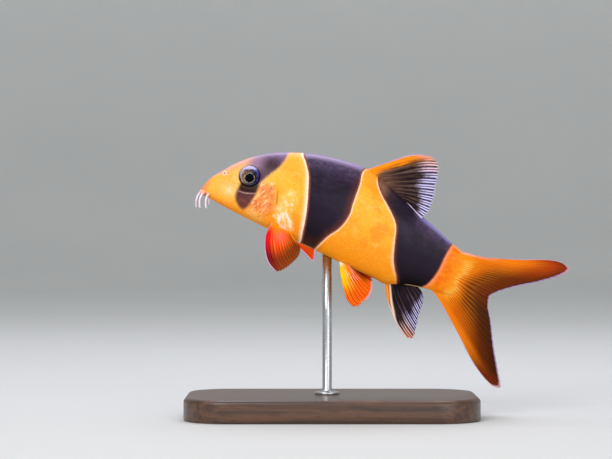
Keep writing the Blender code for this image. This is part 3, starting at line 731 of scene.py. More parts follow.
def skin_finish():
    """Wet skin: orange flanks, three dark bands with pale borders, and the head's own tints."""
    f = Finish(
        "wet_skin", coat_roughness=0.18, subsurface_weight=0.08, subsurface_scale=0.001, specular_ior_level=0.1
    )
    place = f.attribute("place")
    u, w, v = place.split()
    height, gill, eye = f.attribute("form").split()
    first, second, third = f.attribute("bands").split()
    dark, slot, pale = f.attribute("pits").split()

    broad = f.noise(place, 0.22, 3)
    patchy = f.noise(f.stretch(place, (0.7, 1.0, 1.3)), 0.42, 3, 0.6)
    fine = f.noise(place, 1.6, 3, 0.6)
    grain = f.noise(place, 4.5, 2, 0.6)
    mottle = f.noise(place, 0.75, 3, 0.65)
    blotch = f.noise(f.stretch(place, (1.0, 1.0, 1.4)), 0.62, 2, 0.5)

    # Flanks and snout
    # under_sail: the stretch of back under the dorsal fin; bare_back: the rest, which takes the painted sheen and
    # painted rim light
    under_sail = u.rise(36.6, 38.4) * u.fall(53.5, 57.0)
    bare_back = 1 - under_sail
    flank = f.layers(
        (253, 146, 0),
        ((254, 184, 46), height.rise(0.1, 0.62)),
        ((253, 158, 6), broad.rise(0.42, 0.62) * 0.55),
        ((255, 200, 96), patchy.rise(0.5, 0.7) * height.rise(0.15, 0.4) * 0.55),
        ((253, 172, 58), height.rise(0.66, 0.95) * u.fall(26, 31) * 0.55),
        ((251, 150, 18), height.rise(0.8, 0.96) * u.rise(36.5, 38.5) * 0.8),
        (stem_tint(f, place), u.rise(60, 67)),
        # painted rim light: a pale pinkish line along the top of the back where the dorsal fin doesn't cover it
        ((250, 182, 140), height.rise(0.95, 1.0) * bare_back * 0.7),
        ((248, 140, 28), broad.rise(0.48, 0.6) * u.spike(46.0, 9.0) * 0.55),
        ((255, 150, 0), height.fall(0.0, 0.08) * 0.8),
        ((254, 160, 14), fine.rise(0.5, 0.64) * u.spike(21.5, 6.0) * height.rise(0.2, 0.4) * 0.6),
        ((254, 192, 104), u.spike(15.5, 5.5) * v.spike(0.6, 2.6) * mottle.rise(0.3, 0.55) * 0.9),
    )
    snout = f.layers(
        (254, 182, 66),
        ((253, 203, 130), eye.fall(2.5, 6.0) * fine.rise(0.3, 0.7)),
        ((252, 162, 50), mottle.rise(0.46, 0.64) * 0.6),
        ((222, 164, 140), height.rise(0.74, 0.95) * fine.rise(0.3, 0.6) * u.rise(1.5, 5) * 0.8),
        # painted rim light: a pink-lavender edge along the top of the snout
        ((234, 176, 190), height.rise(0.88, 0.99) * 0.75),
        ((254, 214, 156), u.spike(7.0, 3.6) * v.spike(3.4, 2.6) * mottle.rise(0.3, 0.6)),
        ((255, 146, 2), v.fall(-1.0, 1.4)),
        ((236, 128, 104), u.fall(0.2, 2.2) * 0.8),
    )

    # Gill cover, and the white tissue and gold flecks behind it
    streaks = f.noise(f.vector(u - v * 0.45, (u * 0.41 + v * 0.91) * 0.42), 0.95, 3, 0.6)
    cover = gill.rise(0.0, 1.4) * gill.fall(4.2, 6.6) * u.rise(12.6, 14.4) * height.fall(0.5, 0.66)
    cover = cover * height.rise(0.08, 0.22)
    gilled = f.layers(
        (246, 148, 78),
        ((224, 106, 62), mottle.rise(0.4, 0.6)),
        ((196, 88, 54), (1 - streaks).rise(0.54, 0.68) * u.spike(16.4, 2.8) * 0.8),
        ((255, 214, 158), streaks.rise(0.53, 0.6) * u.fall(16.6, 18.4)),
    )
    slit = gill.spike(-0.05, 0.42) * v.rise(4.6, 6.0) * v.fall(8.0, 9.2)
    down_root, off_root = u * 0.72 - v * 0.69, u * 0.69 + v * 0.72 - 17.9
    strands = f.noise(f.vector(down_root * 0.6, off_root * 1.2), 1.0, 3, 0.6)
    tissue = (off_root + (blotch - 0.5) * 3.5).spike(0.0, 2.9)
    tissue = tissue * down_root.rise(10.4, 13.2) * down_root.fall(16.6, 20.2)
    gold = u.spike(22.6, 3.6) * v.spike(7.4, 5.0)

    # Pale borders of the bands
    wobble = (fine - 0.5) * 0.4 + (broad - 0.5) * 0.5 * w.fall(-2, 0)
    first, second, third = first + wobble, second + wobble, third + wobble
    before_second, after_third = u.fall(30, 33), u.rise(60, 62)
    before_third = 1 - after_third
    low = height.fall(0.3, 0.7)
    halo = second.rise(-1.8, -0.5) * before_second * height.rise(0.05, 0.3) * (0.7 - height.rise(0.6, 0.85) * 0.4)
    wide = before_second * (0.1 + blotch * 0.9) * (1 - height.rise(0.6, 0.9) * 0.7)
    by_third = third.rise(-0.6 - low * before_third * 0.5 - after_third * 0.6, -0.12)
    by_third = by_third * (0.9 - height.fall(0.04, 0.26) * before_third * 0.75)
    border = second.rise(-0.55 - wide, -0.12).top(by_third).top(first.rise(-0.9, -0.2) * u.rise(13, 15) * 0.12)
    border = border * (1 - fine.rise(0.54, 0.74) * 0.3)
    border_tint = f.layers(
        (255, 228, 204),
        ((255, 204, 158), u.rise(30, 34) * (0.6 + low * 0.4)),
        ((255, 146, 96), after_third),
    )

    # Dark bands, with a painted sheen and painted rim light along their tops
    fringe = f.layers((116, 56, 44), ((156, 80, 48), fine.rise(0.4, 0.62)))
    # rim: the lavender of the painted rim light along the bands' top edges
    rim = f.layers((156, 134, 174), ((142, 132, 192), u.rise(38, 54)))
    ink = f.layers(
        (12, 4, 10),
        ((31, 20, 38), height.rise(0.0, 0.45)),
        ((54, 40, 64), patchy.rise(0.44, 0.66) * height.rise(0.3, 0.8) * 0.55),
        # painted sheen on the upper part of the bands, then the painted rim light at their top edge
        ((96, 79, 110), height.rise(0.74, 0.94) * bare_back * (0.35 + mottle.rise(0.36, 0.66) * 0.45)),
        (rim, height.rise(0.92, 0.99) * bare_back * 0.9),
        ((74, 52, 46), under_sail * u.spike(43.5, 6.5) * height.rise(0.74, 0.92) * 0.85),
        ((142, 100, 78), u.spike(43.4, 3.2) * height.rise(0.72, 0.92) * (0.5 + mottle.rise(0.34, 0.6) * 0.45)),
    )
    warm = f.layers(ink, ((78, 37, 37), height.fall(0.75, 0.95) * (0.6 + mottle.rise(0.4, 0.6) * 0.4)))
    second_ink = f.layers(
        ink,
        (warm, second.fall(0.8, 2.5) * u.rise(32, 36)),
        ((66, 32, 24), height.fall(0.02, 0.18) * 0.9),
        ((244, 150, 10), height.fall(0.0, 0.016)),
    )
    third_ink = f.layers(ink, (warm, third.fall(0.3, 1.4) * before_third))
    head_ink = f.layers(
        (92, 42, 46),
        ((72, 36, 52), height.rise(0.2, 0.4)),
        ((70, 46, 70), height.rise(0.42, 0.6)),
        ((150, 120, 148), height.rise(0.64, 0.84) * u.fall(10, 14)),
        ((116, 94, 134), height.rise(0.8, 0.95) * u.rise(10, 14) * 0.85),
        ((40, 26, 48), u.spike(14.6, 3.4) * v.spike(14.6, 3.4) * mottle.rise(0.3, 0.5)),
        # painted rim light along the top edge of the head band
        ((172, 150, 196), height.rise(0.95, 1.0) * 0.8),
        ((124, 66, 60), mottle.rise(0.46, 0.62) * height.fall(0.26, 0.42) * 0.5),
        ((28, 10, 14), eye.fall(3.6, 5.2) * v.fall(6.8, 8.6) * v.rise(4.7, 5.3)),
    )
    soft = height.rise(0.66, 0.9) * u.fall(12, 15)

    by_nose = u.fall(5.8, 7.2)
    lip = f.layers((218, 164, 156), ((255, 218, 200), by_nose))
    colour = f.layers(
        snout,
        (flank, u.rise(9.0, 16.0)),
        (gilled, cover * 0.92),
        ((198, 84, 40), slit * 0.7),
        ((255, 200, 112), tissue.rise(0.0, 0.6) * 0.75),
        ((255, 240, 226), tissue.rise(0.1, 0.75) * strands.rise(0.43, 0.62)),
        ((248, 150, 60), tissue.rise(0.2, 0.7) * (1 - strands).rise(0.56, 0.66) * 0.5),
        ((255, 216, 122), gold.rise(0.05, 0.6) * (0.25 + strands.rise(0.4, 0.62) * 0.7)),
        ((255, 238, 196), gold.rise(0.3, 0.9) * mottle.rise(0.5, 0.66) * 0.75),
        ((236, 130, 2), grain.rise(0.4, 0.66) * 0.3),
        ((255, 206, 110), grain.fall(0.34, 0.5) * u.fall(58, 66) * 0.25),
        ((255, 208, 134), halo),
        (border_tint, border * (1 - under_sail * height.rise(0.93, 0.99))),
        (head_ink, first.rise(-0.5 - soft * 0.9, 0.6 + soft * 0.9) * 0.97),
        (f.layers(fringe, (second_ink, second.rise(0.12, 0.8))), second.rise(-0.1, 0.16)),
        (f.layers(fringe, (third_ink, third.rise(0.1, 0.6))), third.rise(-0.1, 0.18)),
        # painted highlight: a thin cream line along the underside behind the anal fin
        ((246, 204, 140), height.fall(0.004, 0.022) * u.rise(59.5, 61) * u.fall(66.5, 69) * 0.9),
        (caudal_colour(f, place, *ray_pattern(f, TAIL_RAYS, TAIL_FORK)), u.rise(69.5, 71.0)),
        ((44, 16, 14), slot.rise(0.15, 0.8) * 0.9),
        (lip, pale * ((0.3 + fine.rise(0.35, 0.6) * 0.4) * (1 - by_nose) + by_nose)),
        # painted shade in the nostril pits and along the mouth's line
        ((96, 30, 18), dark * 0.85),
        # painted shade in the groove round the eye, darker below it
        ((34, 18, 24), eye.fall(2.8, 3.06) * (0.35 + v.fall(7.6, 9.8) * 0.6)),
    )

    scales = f.node("ShaderNodeTexVoronoi", {}, {"Vector": f.stretch(place, (1.0, 1.0, 1.25)), "Scale": 2.6})
    relief = scales * -0.4 * u.rise(17, 22) + grain * 0.7
    return f.done(
        base_color=colour,
        roughness=0.62 + f.noise(place, 0.8, 2).rise(0.3, 0.7) * 0.1 - height.rise(0.02, 0.35) * 0.26,
        coat_weight=0.02 + height * 0.13 + cover * 0.1,
        normal=f.bump(relief, 0.03),
    )


def eye_finish():
    """Black pupil, broken gold ring, dark flecked iris, an outer ring painted paler above and in front as where it is
    lit, a painted lavender reflection as a crescent above, and painted shade along its lower edge.
    """
    f = Finish("wet_eye", coat_weight=0.06, coat_roughness=0.04, roughness=0.35, specular_ior_level=0.04)
    place = f.attribute("gaze")
    across, _, up = place.split()
    skyward = up * math.cos(PITCH) - across * math.sin(PITCH)
    rearward = across * math.cos(PITCH) + up * math.sin(PITCH)
    wide, high = across - PUPIL_AT[0], up - PUPIL_AT[1]
    flecks = f.noise(place, 3.0, 3, 0.7)
    clouds = f.noise(place, 1.3, 2)
    gap = (wide * wide + high * high).math("SQRT") + (clouds - 0.5) * 0.3
    rim = (across * across + up * up).math("SQRT")
    shell = f.layers(
        (84, 72, 92),
        # painted light: the outer ring paler above and in front
        ((178, 172, 216), skyward.rise(-1.5, 1.3)),
        ((166, 158, 178), rearward.fall(-2.2, -1.0) * 0.8),
        ((72, 78, 178), rearward.rise(1.3, 2.2) * skyward.fall(1.2, 2.0)),
    )
    iris = f.layers(
        (24, 20, 32),
        ((70, 66, 92), clouds.rise(0.4, 0.62)),
        ((186, 140, 66), flecks.rise(0.47, 0.6) * rearward.fall(-0.9, 0.7)),
        ((214, 196, 160), gap.spike(PUPIL_RADIUS + 0.1, 0.16) * flecks.rise(0.44, 0.56) * 0.85),
        (shell, rim.rise(1.9, 2.25) * clouds.rise(0.28, 0.46)),
        # painted reflection: a lavender crescent at the top
        ((188, 182, 232), skyward.rise(1.65, 2.05)),
        # painted shade along the eye's edge, strongest below
        ((14, 10, 18), rim.rise(2.45, 2.7) * (1 - skyward.rise(-0.8, 1.0) * 0.8)),
    )
    return f.done(base_color=f.layers((1, 2, 7), (iris, gap.rise(PUPIL_RADIUS - 0.05, PUPIL_RADIUS + 0.05))))


def ray_pattern(f, rays, fork):
    """Shares across and out along a fin, its forking rays, the lines midway between them, and a tone for each."""
    across, out, _ = f.attribute("ray").split()
    number = across * (rays - 1)
    near = number.math("ROUND")
    offset = abs(number - near)
    gap = abs(offset - RAY_FORK * out.rise(fork, fork + RAY_FORK_LENGTH))
    width = RAY_WIDTH - RAY_NARROWING * out
    ray = gap.fall(width * 0.4, width * 1.5)
    between = (0.5 - offset).fall(0.04, 0.17)
    tone = f.node("ShaderNodeTexWhiteNoise", {"noise_dimensions": "1D"}, {"W": near})
    return across, out, ray, between, tone


def fin_base(name, rays, fork, **more):
    f = Finish(
        name, coat_roughness=0.2, subsurface_weight=0.05, subsurface_scale=0.0006, specular_ior_level=0.08, **more
    )
    place = f.attribute("place")
    return f, place, *ray_pattern(f, rays, fork)


def fin_done(f, place, ray, colour, **more):
    relief = ray * 0.8 + f.noise(place, 3.5, 2) * 0.2
    return f.done(base_color=colour, roughness=0.42 + 0.12 * (1 - ray), normal=f.bump(relief, 0.04), **more)


def dorsal_finish():
    f, place, across, out, ray, between, tone = fin_base("dorsal_membrane", DORSAL_RAYS, DORSAL_FORK)
    blotch = f.noise(place, 0.55, 3)
    streaks = f.noise(f.vector(across * 40, out * 2.5), 1.0, 3, 0.6)
    rays = f.layers((74, 52, 46), ((120, 94, 84), tone))
    tan = out.fall(0.1, 0.45) * across.fall(0.4, 0.75) * (0.35 + streaks.rise(0.36, 0.6) * 0.5)
    limit = out - across.spike(0.0, 0.5) * 0.12 + (tone - 0.5) * 0.12 + (f.noise(place, 1.2, 2) - 0.5) * 0.2
    outer = limit.rise(0.62, 0.86)
    fringe = f.layers((246, 196, 190), ((212, 204, 252), across.rise(0.12, 0.4)))
    front = (across + out * 0.06 + (blotch - 0.5) * 0.06 + (streaks - 0.5) * 0.22).fall(0.05, 0.24)
    orange = f.layers(
        (254, 150, 4),
        ((242, 104, 6), ray * streaks.rise(0.3, 0.7)),
        ((250, 172, 150), out.rise(0.7, 0.95) * 0.8),
    )
    colour = f.layers(
        (30, 18, 22),
        ((54, 36, 36), blotch.rise(0.35, 0.7)),
        ((22, 12, 20), out.rise(0.4, 0.66) * 0.7),
        (rays, ray * streaks.rise(0.3, 0.6) * (0.95 - 0.4 * out)),
        ((128, 90, 68), tan),
        (fringe, outer * (0.14 + 0.86 * ray.rise(0.1, 0.8))),
        ((36, 20, 54), between * outer * across.rise(0.12, 0.3) * 0.95),
        (orange, front.rise(0.05, 0.95)),
        ((251, 148, 10), out.fall(0.1, 0.3) * place.split()[0].fall(39.6, 42.0)),
        ((220, 170, 206), across.fall(0.004, 0.02)),
        ((24, 14, 24), across.spike(0.93, 0.05) * out.fall(0.6, 0.8)),
        ((206, 190, 224), across.rise(0.972, 0.988) * out.rise(0.15, 0.35) * 0.95),
    )
    return fin_done(f, place, ray, colour, alpha=1 - outer * (1 - ray) * 0.3)


def anal_finish():
    f, place, across, out, ray, between, tone = fin_base("anal_membrane", ANAL_RAYS, ANAL_FORK)
    streaks = f.noise(f.vector(across * 36, out * 2.5), 1.0, 3, 0.6)
    strand = ray.rise(0.4, 1.0)
    rays = f.layers((54, 40, 50), ((104, 84, 92), tone))
    limit = out - across * 0.08 + (tone - 0.5) * 0.1 + (f.noise(place, 1.1, 2) - 0.5) * 0.1
    outer = limit.rise(0.6, 0.82)
    fringe = f.layers((210, 204, 252), ((232, 184, 172), across.fall(0.14, 0.34)))
    edge = across + out * 0.26 + (streaks - 0.5) * 0.03
    colour = f.layers(
        (18, 10, 18),
        ((34, 23, 32), f.noise(place, 0.6, 3).rise(0.35, 0.7)),
        (rays, strand * streaks.rise(0.3, 0.6) * (0.35 + 0.5 * out)),
        ((74, 62, 92), outer * 0.3),
        (fringe, outer * strand),
        ((20, 12, 30), between * outer * across.rise(0.05, 0.15) * 0.95),
        ((240, 142, 100), out.rise(0.78, 0.95) * across.fall(0.08, 0.24) * (0.25 + 0.65 * ray)),
        ((252, 218, 190), edge.spike(0.175, 0.05) * out.fall(0.55, 0.95)),
        ((254, 146, 6), edge.fall(0.11, 0.15)),
        ((16, 8, 14), out.fall(0.16, 0.3) * across.rise(0.2, 0.3)),
        ((240, 200, 200), across.fall(0.012, 0.03) * out.rise(0.25, 0.5)),
    )
    return fin_done(f, place, ray, colour, alpha=1 - outer * (1 - strand) * 0.3)


def caudal_colour(f, place, across, out, ray, between, tone):
    """The tail fin's colours, shared with the end of the skin that lies over its roots."""
    v = place.split()[2]
    blotch = f.noise(place, 0.4, 3)
    upper = f.layers(
        (234, 114, 4),
        ((176, 58, 2), out.rise(0.45, 0.88)),
        ((84, 24, 0), out.rise(0.84, 1.0)),
        ((74, 27, 2), across.rise(0.16, 0.66) * out.rise(0.16, 0.5) * 0.85),
    )
    lower = f.layers(
        (216, 98, 2),
        ((88, 27, 0), out.rise(0.25, 0.8)),
        ((34, 8, 0), out.rise(0.74, 1.0)),
        ((46, 22, 4), across.rise(0.28, 0.86) * out.rise(0.12, 0.4) * 0.85),
    )
    lead = across.fall(0.04, 0.3)
    lobes = f.layers(
        lower,
        (upper, v.rise(2, 8)),
        ((252, 132, 2), lead * out.fall(0.5, 0.9) * 0.85),
        ((150, 42, 2), lead * out.rise(0.7, 0.95) * 0.5),
    )
    root = out + (tone - 0.5) * 0.05 + (blotch - 0.5) * 0.1
    streaks = (out + (tone - 0.5) * 0.08).spike(0.12, 0.1) * across.rise(0.12, 0.5) * (0.25 + ray * 0.75)
    outline = across.fall(0.006, 0.026).top(out.rise(0.966, 0.988) * 0.9)
    lilac = f.layers((222, 170, 190), ((180, 152, 206), across.rise(0.1, 0.5)))
    pale_base = across.fall(0.06, 0.14) * out.rise(0.02, 0.08) * out.fall(0.2, 0.45) * v.rise(6, 10)
    return f.layers(
        (252, 140, 4),
        (lobes, (out + (blotch - 0.5) * 0.12).rise(0.06, 0.34)),
        ((252, 156, 24), ray * (0.58 - 0.75 * out).top(0.05)),
        ((60, 22, 8), between * out.rise(0.08, 0.2) * (1 - lead * 0.6) * (1 - out * 0.6) * 0.4),
        (stem_tint(f, place), root.fall(0.02, 0.14)),
        ((255, 210, 92), streaks * 0.8),
        (lilac, outline * out.rise(0.04, 0.2) * 0.9),
        ((240, 196, 190), pale_base * (0.3 + 0.6 * ray)),
    )


def caudal_finish():
    f, place, across, out, ray, between, tone = fin_base("tail_membrane", TAIL_RAYS, TAIL_FORK)
    return fin_done(f, place, ray, caudal_colour(f, place, across, out, ray, between, tone))


def pectoral_finish():
    # The pectoral fins glow through their emission: painted light standing for light shining through the thin fins
    f, place, across, out, ray, between, tone = fin_base(
        "pectoral_membrane", PECTORAL_RAYS, PECTORAL_FORK, emission_strength=1.0
    )
    far = place.split()[1].fall(-1, 1)
    near = 1 - far
    blotch = f.noise(place, 0.5, 3)
    streaks = f.noise(f.vector(across * 60, out * 3), 1.0, 3, 0.6)
    rays = f.layers((255, 92, 10), ((255, 134, 36), tone))
    middle = across.spike(0.42, 0.34) * out.spike(0.34, 0.26)
    front = across.fall(0.0, 0.3)
    dusk = (out + across * 0.12 + front * 0.12 + (streaks - 0.5) * 0.3 + (blotch - 0.5) * 0.1).rise(0.5, 0.86)
    dusky = f.layers((82, 34, 0), ((84, 4, 6), across.fall(0.08, 0.4)), ((92, 40, 2), out.rise(0.78, 0.95)))
    colour = f.layers(
        (246, 54, 4),
        ((208, 76, 14), across.rise(0.3, 0.8)),
        (rays, ray * (0.45 + streaks.rise(0.35, 0.6) * 0.5)),
        ((255, 112, 84), middle * (0.7 + streaks.rise(0.4, 0.6) * 0.25)),
        ((180, 72, 16), across.rise(0.6, 0.85) * out.spike(0.45, 0.3) * 0.7),
        ((255, 140, 2), (out + (blotch - 0.5) * 0.2).fall(0.08, 0.36)),
        ((255, 172, 6), out.fall(0.1, 0.4) * across.rise(0.55, 0.9)),
        ((206, 0, 24), across.fall(0.06, 0.24) * out.rise(0.1, 0.34) * near * 0.92),
        # painted light: the far fin, on the body's shaded side, is painted less dusky
        (dusky, dusk * (0.98 - 0.25 * ray) * (1 - far * 0.65)),
        ((76, 26, 2), between * out.rise(0.4, 0.6) * across.rise(0.2, 0.5) * 0.4),
        ((255, 166, 22), across.rise(0.9, 0.95) * out.fall(0.5, 0.9) * 0.8),
        ((206, 150, 196), across.fall(0.006, 0.026)),
        ((206, 160, 206), out.rise(0.965, 0.99) * far),
    )
    # painted light: a glow of the fin's own colour, stronger on the far fin
    return fin_done(f, place, ray, colour, emission_color=f.layers((0, 0, 0), (colour, 0.13 + far * 0.45)))


def pelvic_finish():
    f, place, across, out, ray, _, _ = fin_base("pelvic_membrane", PELVIC_RAYS, PELVIC_FORK)
    blotch = f.noise(place, 0.5, 3)
    streaks = f.noise(f.vector(across * 34, out * 3), 1.0, 3, 0.6)
    fleck = f.noise(f.vector(across * 34, out * 5), 1.0, 2).rise(0.44, 0.56)
    white = fleck * ray * across.rise(0.12, 0.3) * out.rise(0.06, 0.2) * out.fall(0.42, 0.66)
    colour = f.layers(
        (226, 50, 0),
        ((255, 152, 8), ray * (0.5 + streaks.rise(0.4, 0.6) * 0.5)),
        ((222, 44, 0), out.spike(0.6, 0.4) * (1 - ray) * 0.5),
        ((255, 146, 6), out.fall(0.2, 0.55) * 0.65),
        ((206, 52, 0), streaks.rise(0.5, 0.64) * out.rise(0.3, 0.5) * 0.45),
        ((255, 204, 14), across.fall(0.14, 0.58) * (out + (blotch - 0.5) * 0.2).fall(0.34, 0.8)),
        ((255, 232, 200), white * 0.95),
        ((255, 238, 224), (out + across * 0.1).fall(0.12, 0.24) * streaks.rise(0.3, 0.5)),
        ((120, 50, 14), across.rise(0.8, 0.95) * out.fall(0.7, 0.95) * 0.8),
        ((228, 190, 206), out.rise(0.95, 0.99) * across.rise(0.3, 0.5) * 0.8),
    )
    return fin_done(f, place, ray, colour)


def barbel_finish():
    f = Finish("barbel_flesh", coat_weight=0.4, coat_roughness=0.15, subsurface_weight=0.35, subsurface_scale=0.0008)
    out = f.attribute("ray").split()[1]
    rings = f.noise(f.vector(0.0, out * 46), 1.0, 1)
    colour = f.layers(
        (246, 176, 130), ((232, 222, 236), out.rise(0.04, 0.3)), ((244, 238, 248), rings.rise(0.45, 0.7) * 0.5)
    )
    return f.done(base_color=colour, roughness=0.35, normal=f.bump(rings, 0.03))


def wood_finish():
    """Dark satin-lacquered walnut with grain along the base."""
    f = Finish("stand_walnut", coat_weight=0.35, coat_roughness=0.22)
    place = f.coordinates()
    _, y, z = place.split()
    bend = f.noise(f.stretch(place, (14.0, 60.0, 60.0)), 1.0, 3)
    lines = f.noise(f.vector(bend * 3.0, y * 900 + bend * 6.0, z * 700), 1.0, 3, 0.6)
    pores = f.noise(f.stretch(place, (260.0, 3800.0, 3800.0)), 1.0, 2)
    dark = pores.rise(0.58, 0.68) * 0.7
    colour = f.layers((58, 37, 25), ((98, 64, 42), lines.rise(0.3, 0.7)), ((36, 22, 15), dark))
    return f.done(base_color=colour, roughness=0.34 + lines * 0.12, normal=f.bump(pores, 0.02))


def steel_finish():
    f = Finish("stand_steel", metallic=1.0)
    marks = f.noise(f.stretch(f.coordinates(), (40.0, 40.0, 9000.0)), 1.0, 2)
    colour = f.layers((176, 178, 182), ((204, 205, 208), marks))
    return f.done(base_color=colour, roughness=0.22 + marks * 0.1, normal=f.bump(marks, 0.0012))


def floor_finish():
    f = Finish("studio_floor", roughness=0.75)
    place = f.coordinates()
    far = place.split()[2].rise(0.05, 0.7)
    colour = f.layers((206, 207, 205), ((214, 215, 212), f.noise(place, 6.0, 3)), ((240, 241, 238), far))
    return f.done(base_color=colour)


def upright(edges):
    """A fin's edges, given in (u, v), on the middle plane."""
    return {edge: [(u, 0, v) for u, v in points] for edge, points in edges.items()}


def fin_sheet(root, lead, margin, trail, columns, rows, gather=1.0, curl=0.0, straight=1.0, lean=0.0):
    """Points of a fin's middle surface, [column, row], spanned by its four edges. A straight above 1 keeps the rays
    inside straight between edges that curve. Lean swings the rear of the fin out over the left flank."""
    share = np.linspace(0, 1, columns)
    t = np.linspace(0, 1, rows)
    root, margin = np.asarray(root, float), np.asarray(margin, float)
    foot, rim = along(root, share), along(margin, share**gather)
    front = along([root[0], *lead, margin[0]], t)
    rear = along([root[-1], *trail, margin[-1]], t)
    s, t = share[:, None, None], t[None, :, None]
    sheet = foot[:, None] * (1 - t) + rim[:, None] * t
    sheet += (front[None] - root[0] * (1 - t) - margin[0] * t) * (1 - s) ** straight
    sheet += (rear[None] - root[-1] * (1 - t) - margin[-1] * t) * s**straight
    sheet += lean * s**6 * ease(t, 0.0, 0.35) * np.array([0, 1, 0])
    square = np.cross(root[-1] - root[0], margin.mean(axis=0) - root.mean(axis=0))
    return sheet + curl * t**2 * square / norm(square)


def tail_rays(points):
    """How far across and along the tail fin's rays each point of the skin lies, where the skin covers their roots."""
    columns, rows = TAIL_GUIDE
    rays = np.zeros((len(points), 3))
    over = points[:, 0] > TAIL_RAYS_FROM
    for edges, mine in ((CAUDAL_UPPER, points[:, 2] >= TAIL_PARTING), (CAUDAL_LOWER, points[:, 2] < TAIL_PARTING)):
        tree = KDTree(columns * rows)
        sheet = fin_sheet(**upright(edges), columns=columns, rows=rows, **TAIL_SHAPE)
        for number, (u, _, v) in enumerate(sheet.reshape(-1, 3)):
            tree.insert((u, 0, v), number)
        tree.balance()
        for k in np.flatnonzero(over & mine):
            column, row = divmod(tree.find((points[k, 0], 0, points[k, 2]))[1], rows)
            rays[k] = column / (columns - 1), row / (rows - 1), 0
    return rays


def make_skin():
    """One seamless skin over head, torso and tail stem. It ends in a wedge between the roots of the tail fin."""
    grid, share = body_rows(row_numbers())
    wedge = []
    for step in np.linspace(0, 1, TAIL_WEDGE_ROWS + 1)[1:]:
        row = grid[-1].copy()
        row[:, 1] *= 1 - (1 - TAIL_WEDGE_EDGE) * step**1.1
        row[:, 0] += TAIL_WEDGE * step * (1 - TAIL_WEDGE_BOW * (2 * share[-1] - 1) ** 2)
        row[:, 2] += (0.5 - share[-1]) * TAIL_WEDGE_PINCH * step**3
        wedge.append(row)
    grid = np.concatenate([grid, wedge])
    share = np.concatenate([share, [share[-1]] * TAIL_WEDGE_ROWS])
    gill, eye, dark, slot, pale = sculpt(grid, share)

    count = grid.shape[0] * AROUND
    points = np.vstack([grid.reshape(-1, 3), grid[0].mean(axis=0) - [NOSE_TIP, 0, 0]])
    faces = grid_faces(len(grid), AROUND, closed=True) + fan(0, AROUND, count)
    end = count - AROUND
    for k in range(AROUND // 2):
        face = (end + k, end + k + 1, count - k - 1, end + (AROUND - k) % AROUND)
        faces.append(tuple(dict.fromkeys(face)))
    seen = points[:, [0, 2]]
    bands = np.stack([depth_inside(band, seen) for band in (HEAD_BAND, SHOULDER_BAND, TAIL_BAND)], axis=1)

    def spread(*maps):
        """One value of each map for every point, with the last number of each pair for the tip of the nose."""
        return np.stack([np.append(values, nose_value) for values, nose_value in maps], axis=1)

    make_piece(
        "loach_skin", points, faces, skin_finish(), "orange_skin", ("head", "torso", "tail_stem"),
        place=points, form=spread((share, 0.5), (gill, 20), (eye, 15)), bands=bands,
        pits=spread((dark, 0), (slot, 0), (pale, 0)), ray=tail_rays(points),
    )


def make_eyes():
    """Eyeballs with a domed cornea, closed by a flat back inside the head."""
    finish = eye_finish()
    rows, columns = 59, 96
    polar = np.linspace(0, EYE_WRAP, rows + 1)[1:, None]
    turn = np.linspace(0, 2 * np.pi, columns, endpoint=False)[None]
    flat = EYE_RADIUS * np.sin(polar) + 0 * turn
    out = EYE_DEPTH * np.cos(polar) + CORNEA_BULGE * bell(flat, CORNEA_SPREAD)
    gaze = np.stack([flat * np.cos(turn), out, flat * np.sin(turn)], axis=2).reshape(-1, 3)
    gaze = np.vstack([gaze, [0, EYE_DEPTH + CORNEA_BULGE, 0]])
    count = rows * columns
    faces = grid_faces(rows, columns, closed=True) + fan(0, columns, count) + [tuple(range(count - columns, count))]
    for word, side in (("left", 1), ("right", -1)):
        points = eye_centre(side) + gaze * [1, side, 1]
        make_piece(f"eyeball_{word}", points, faces, finish, "eye", (f"eye_{word}",), gaze=gaze)


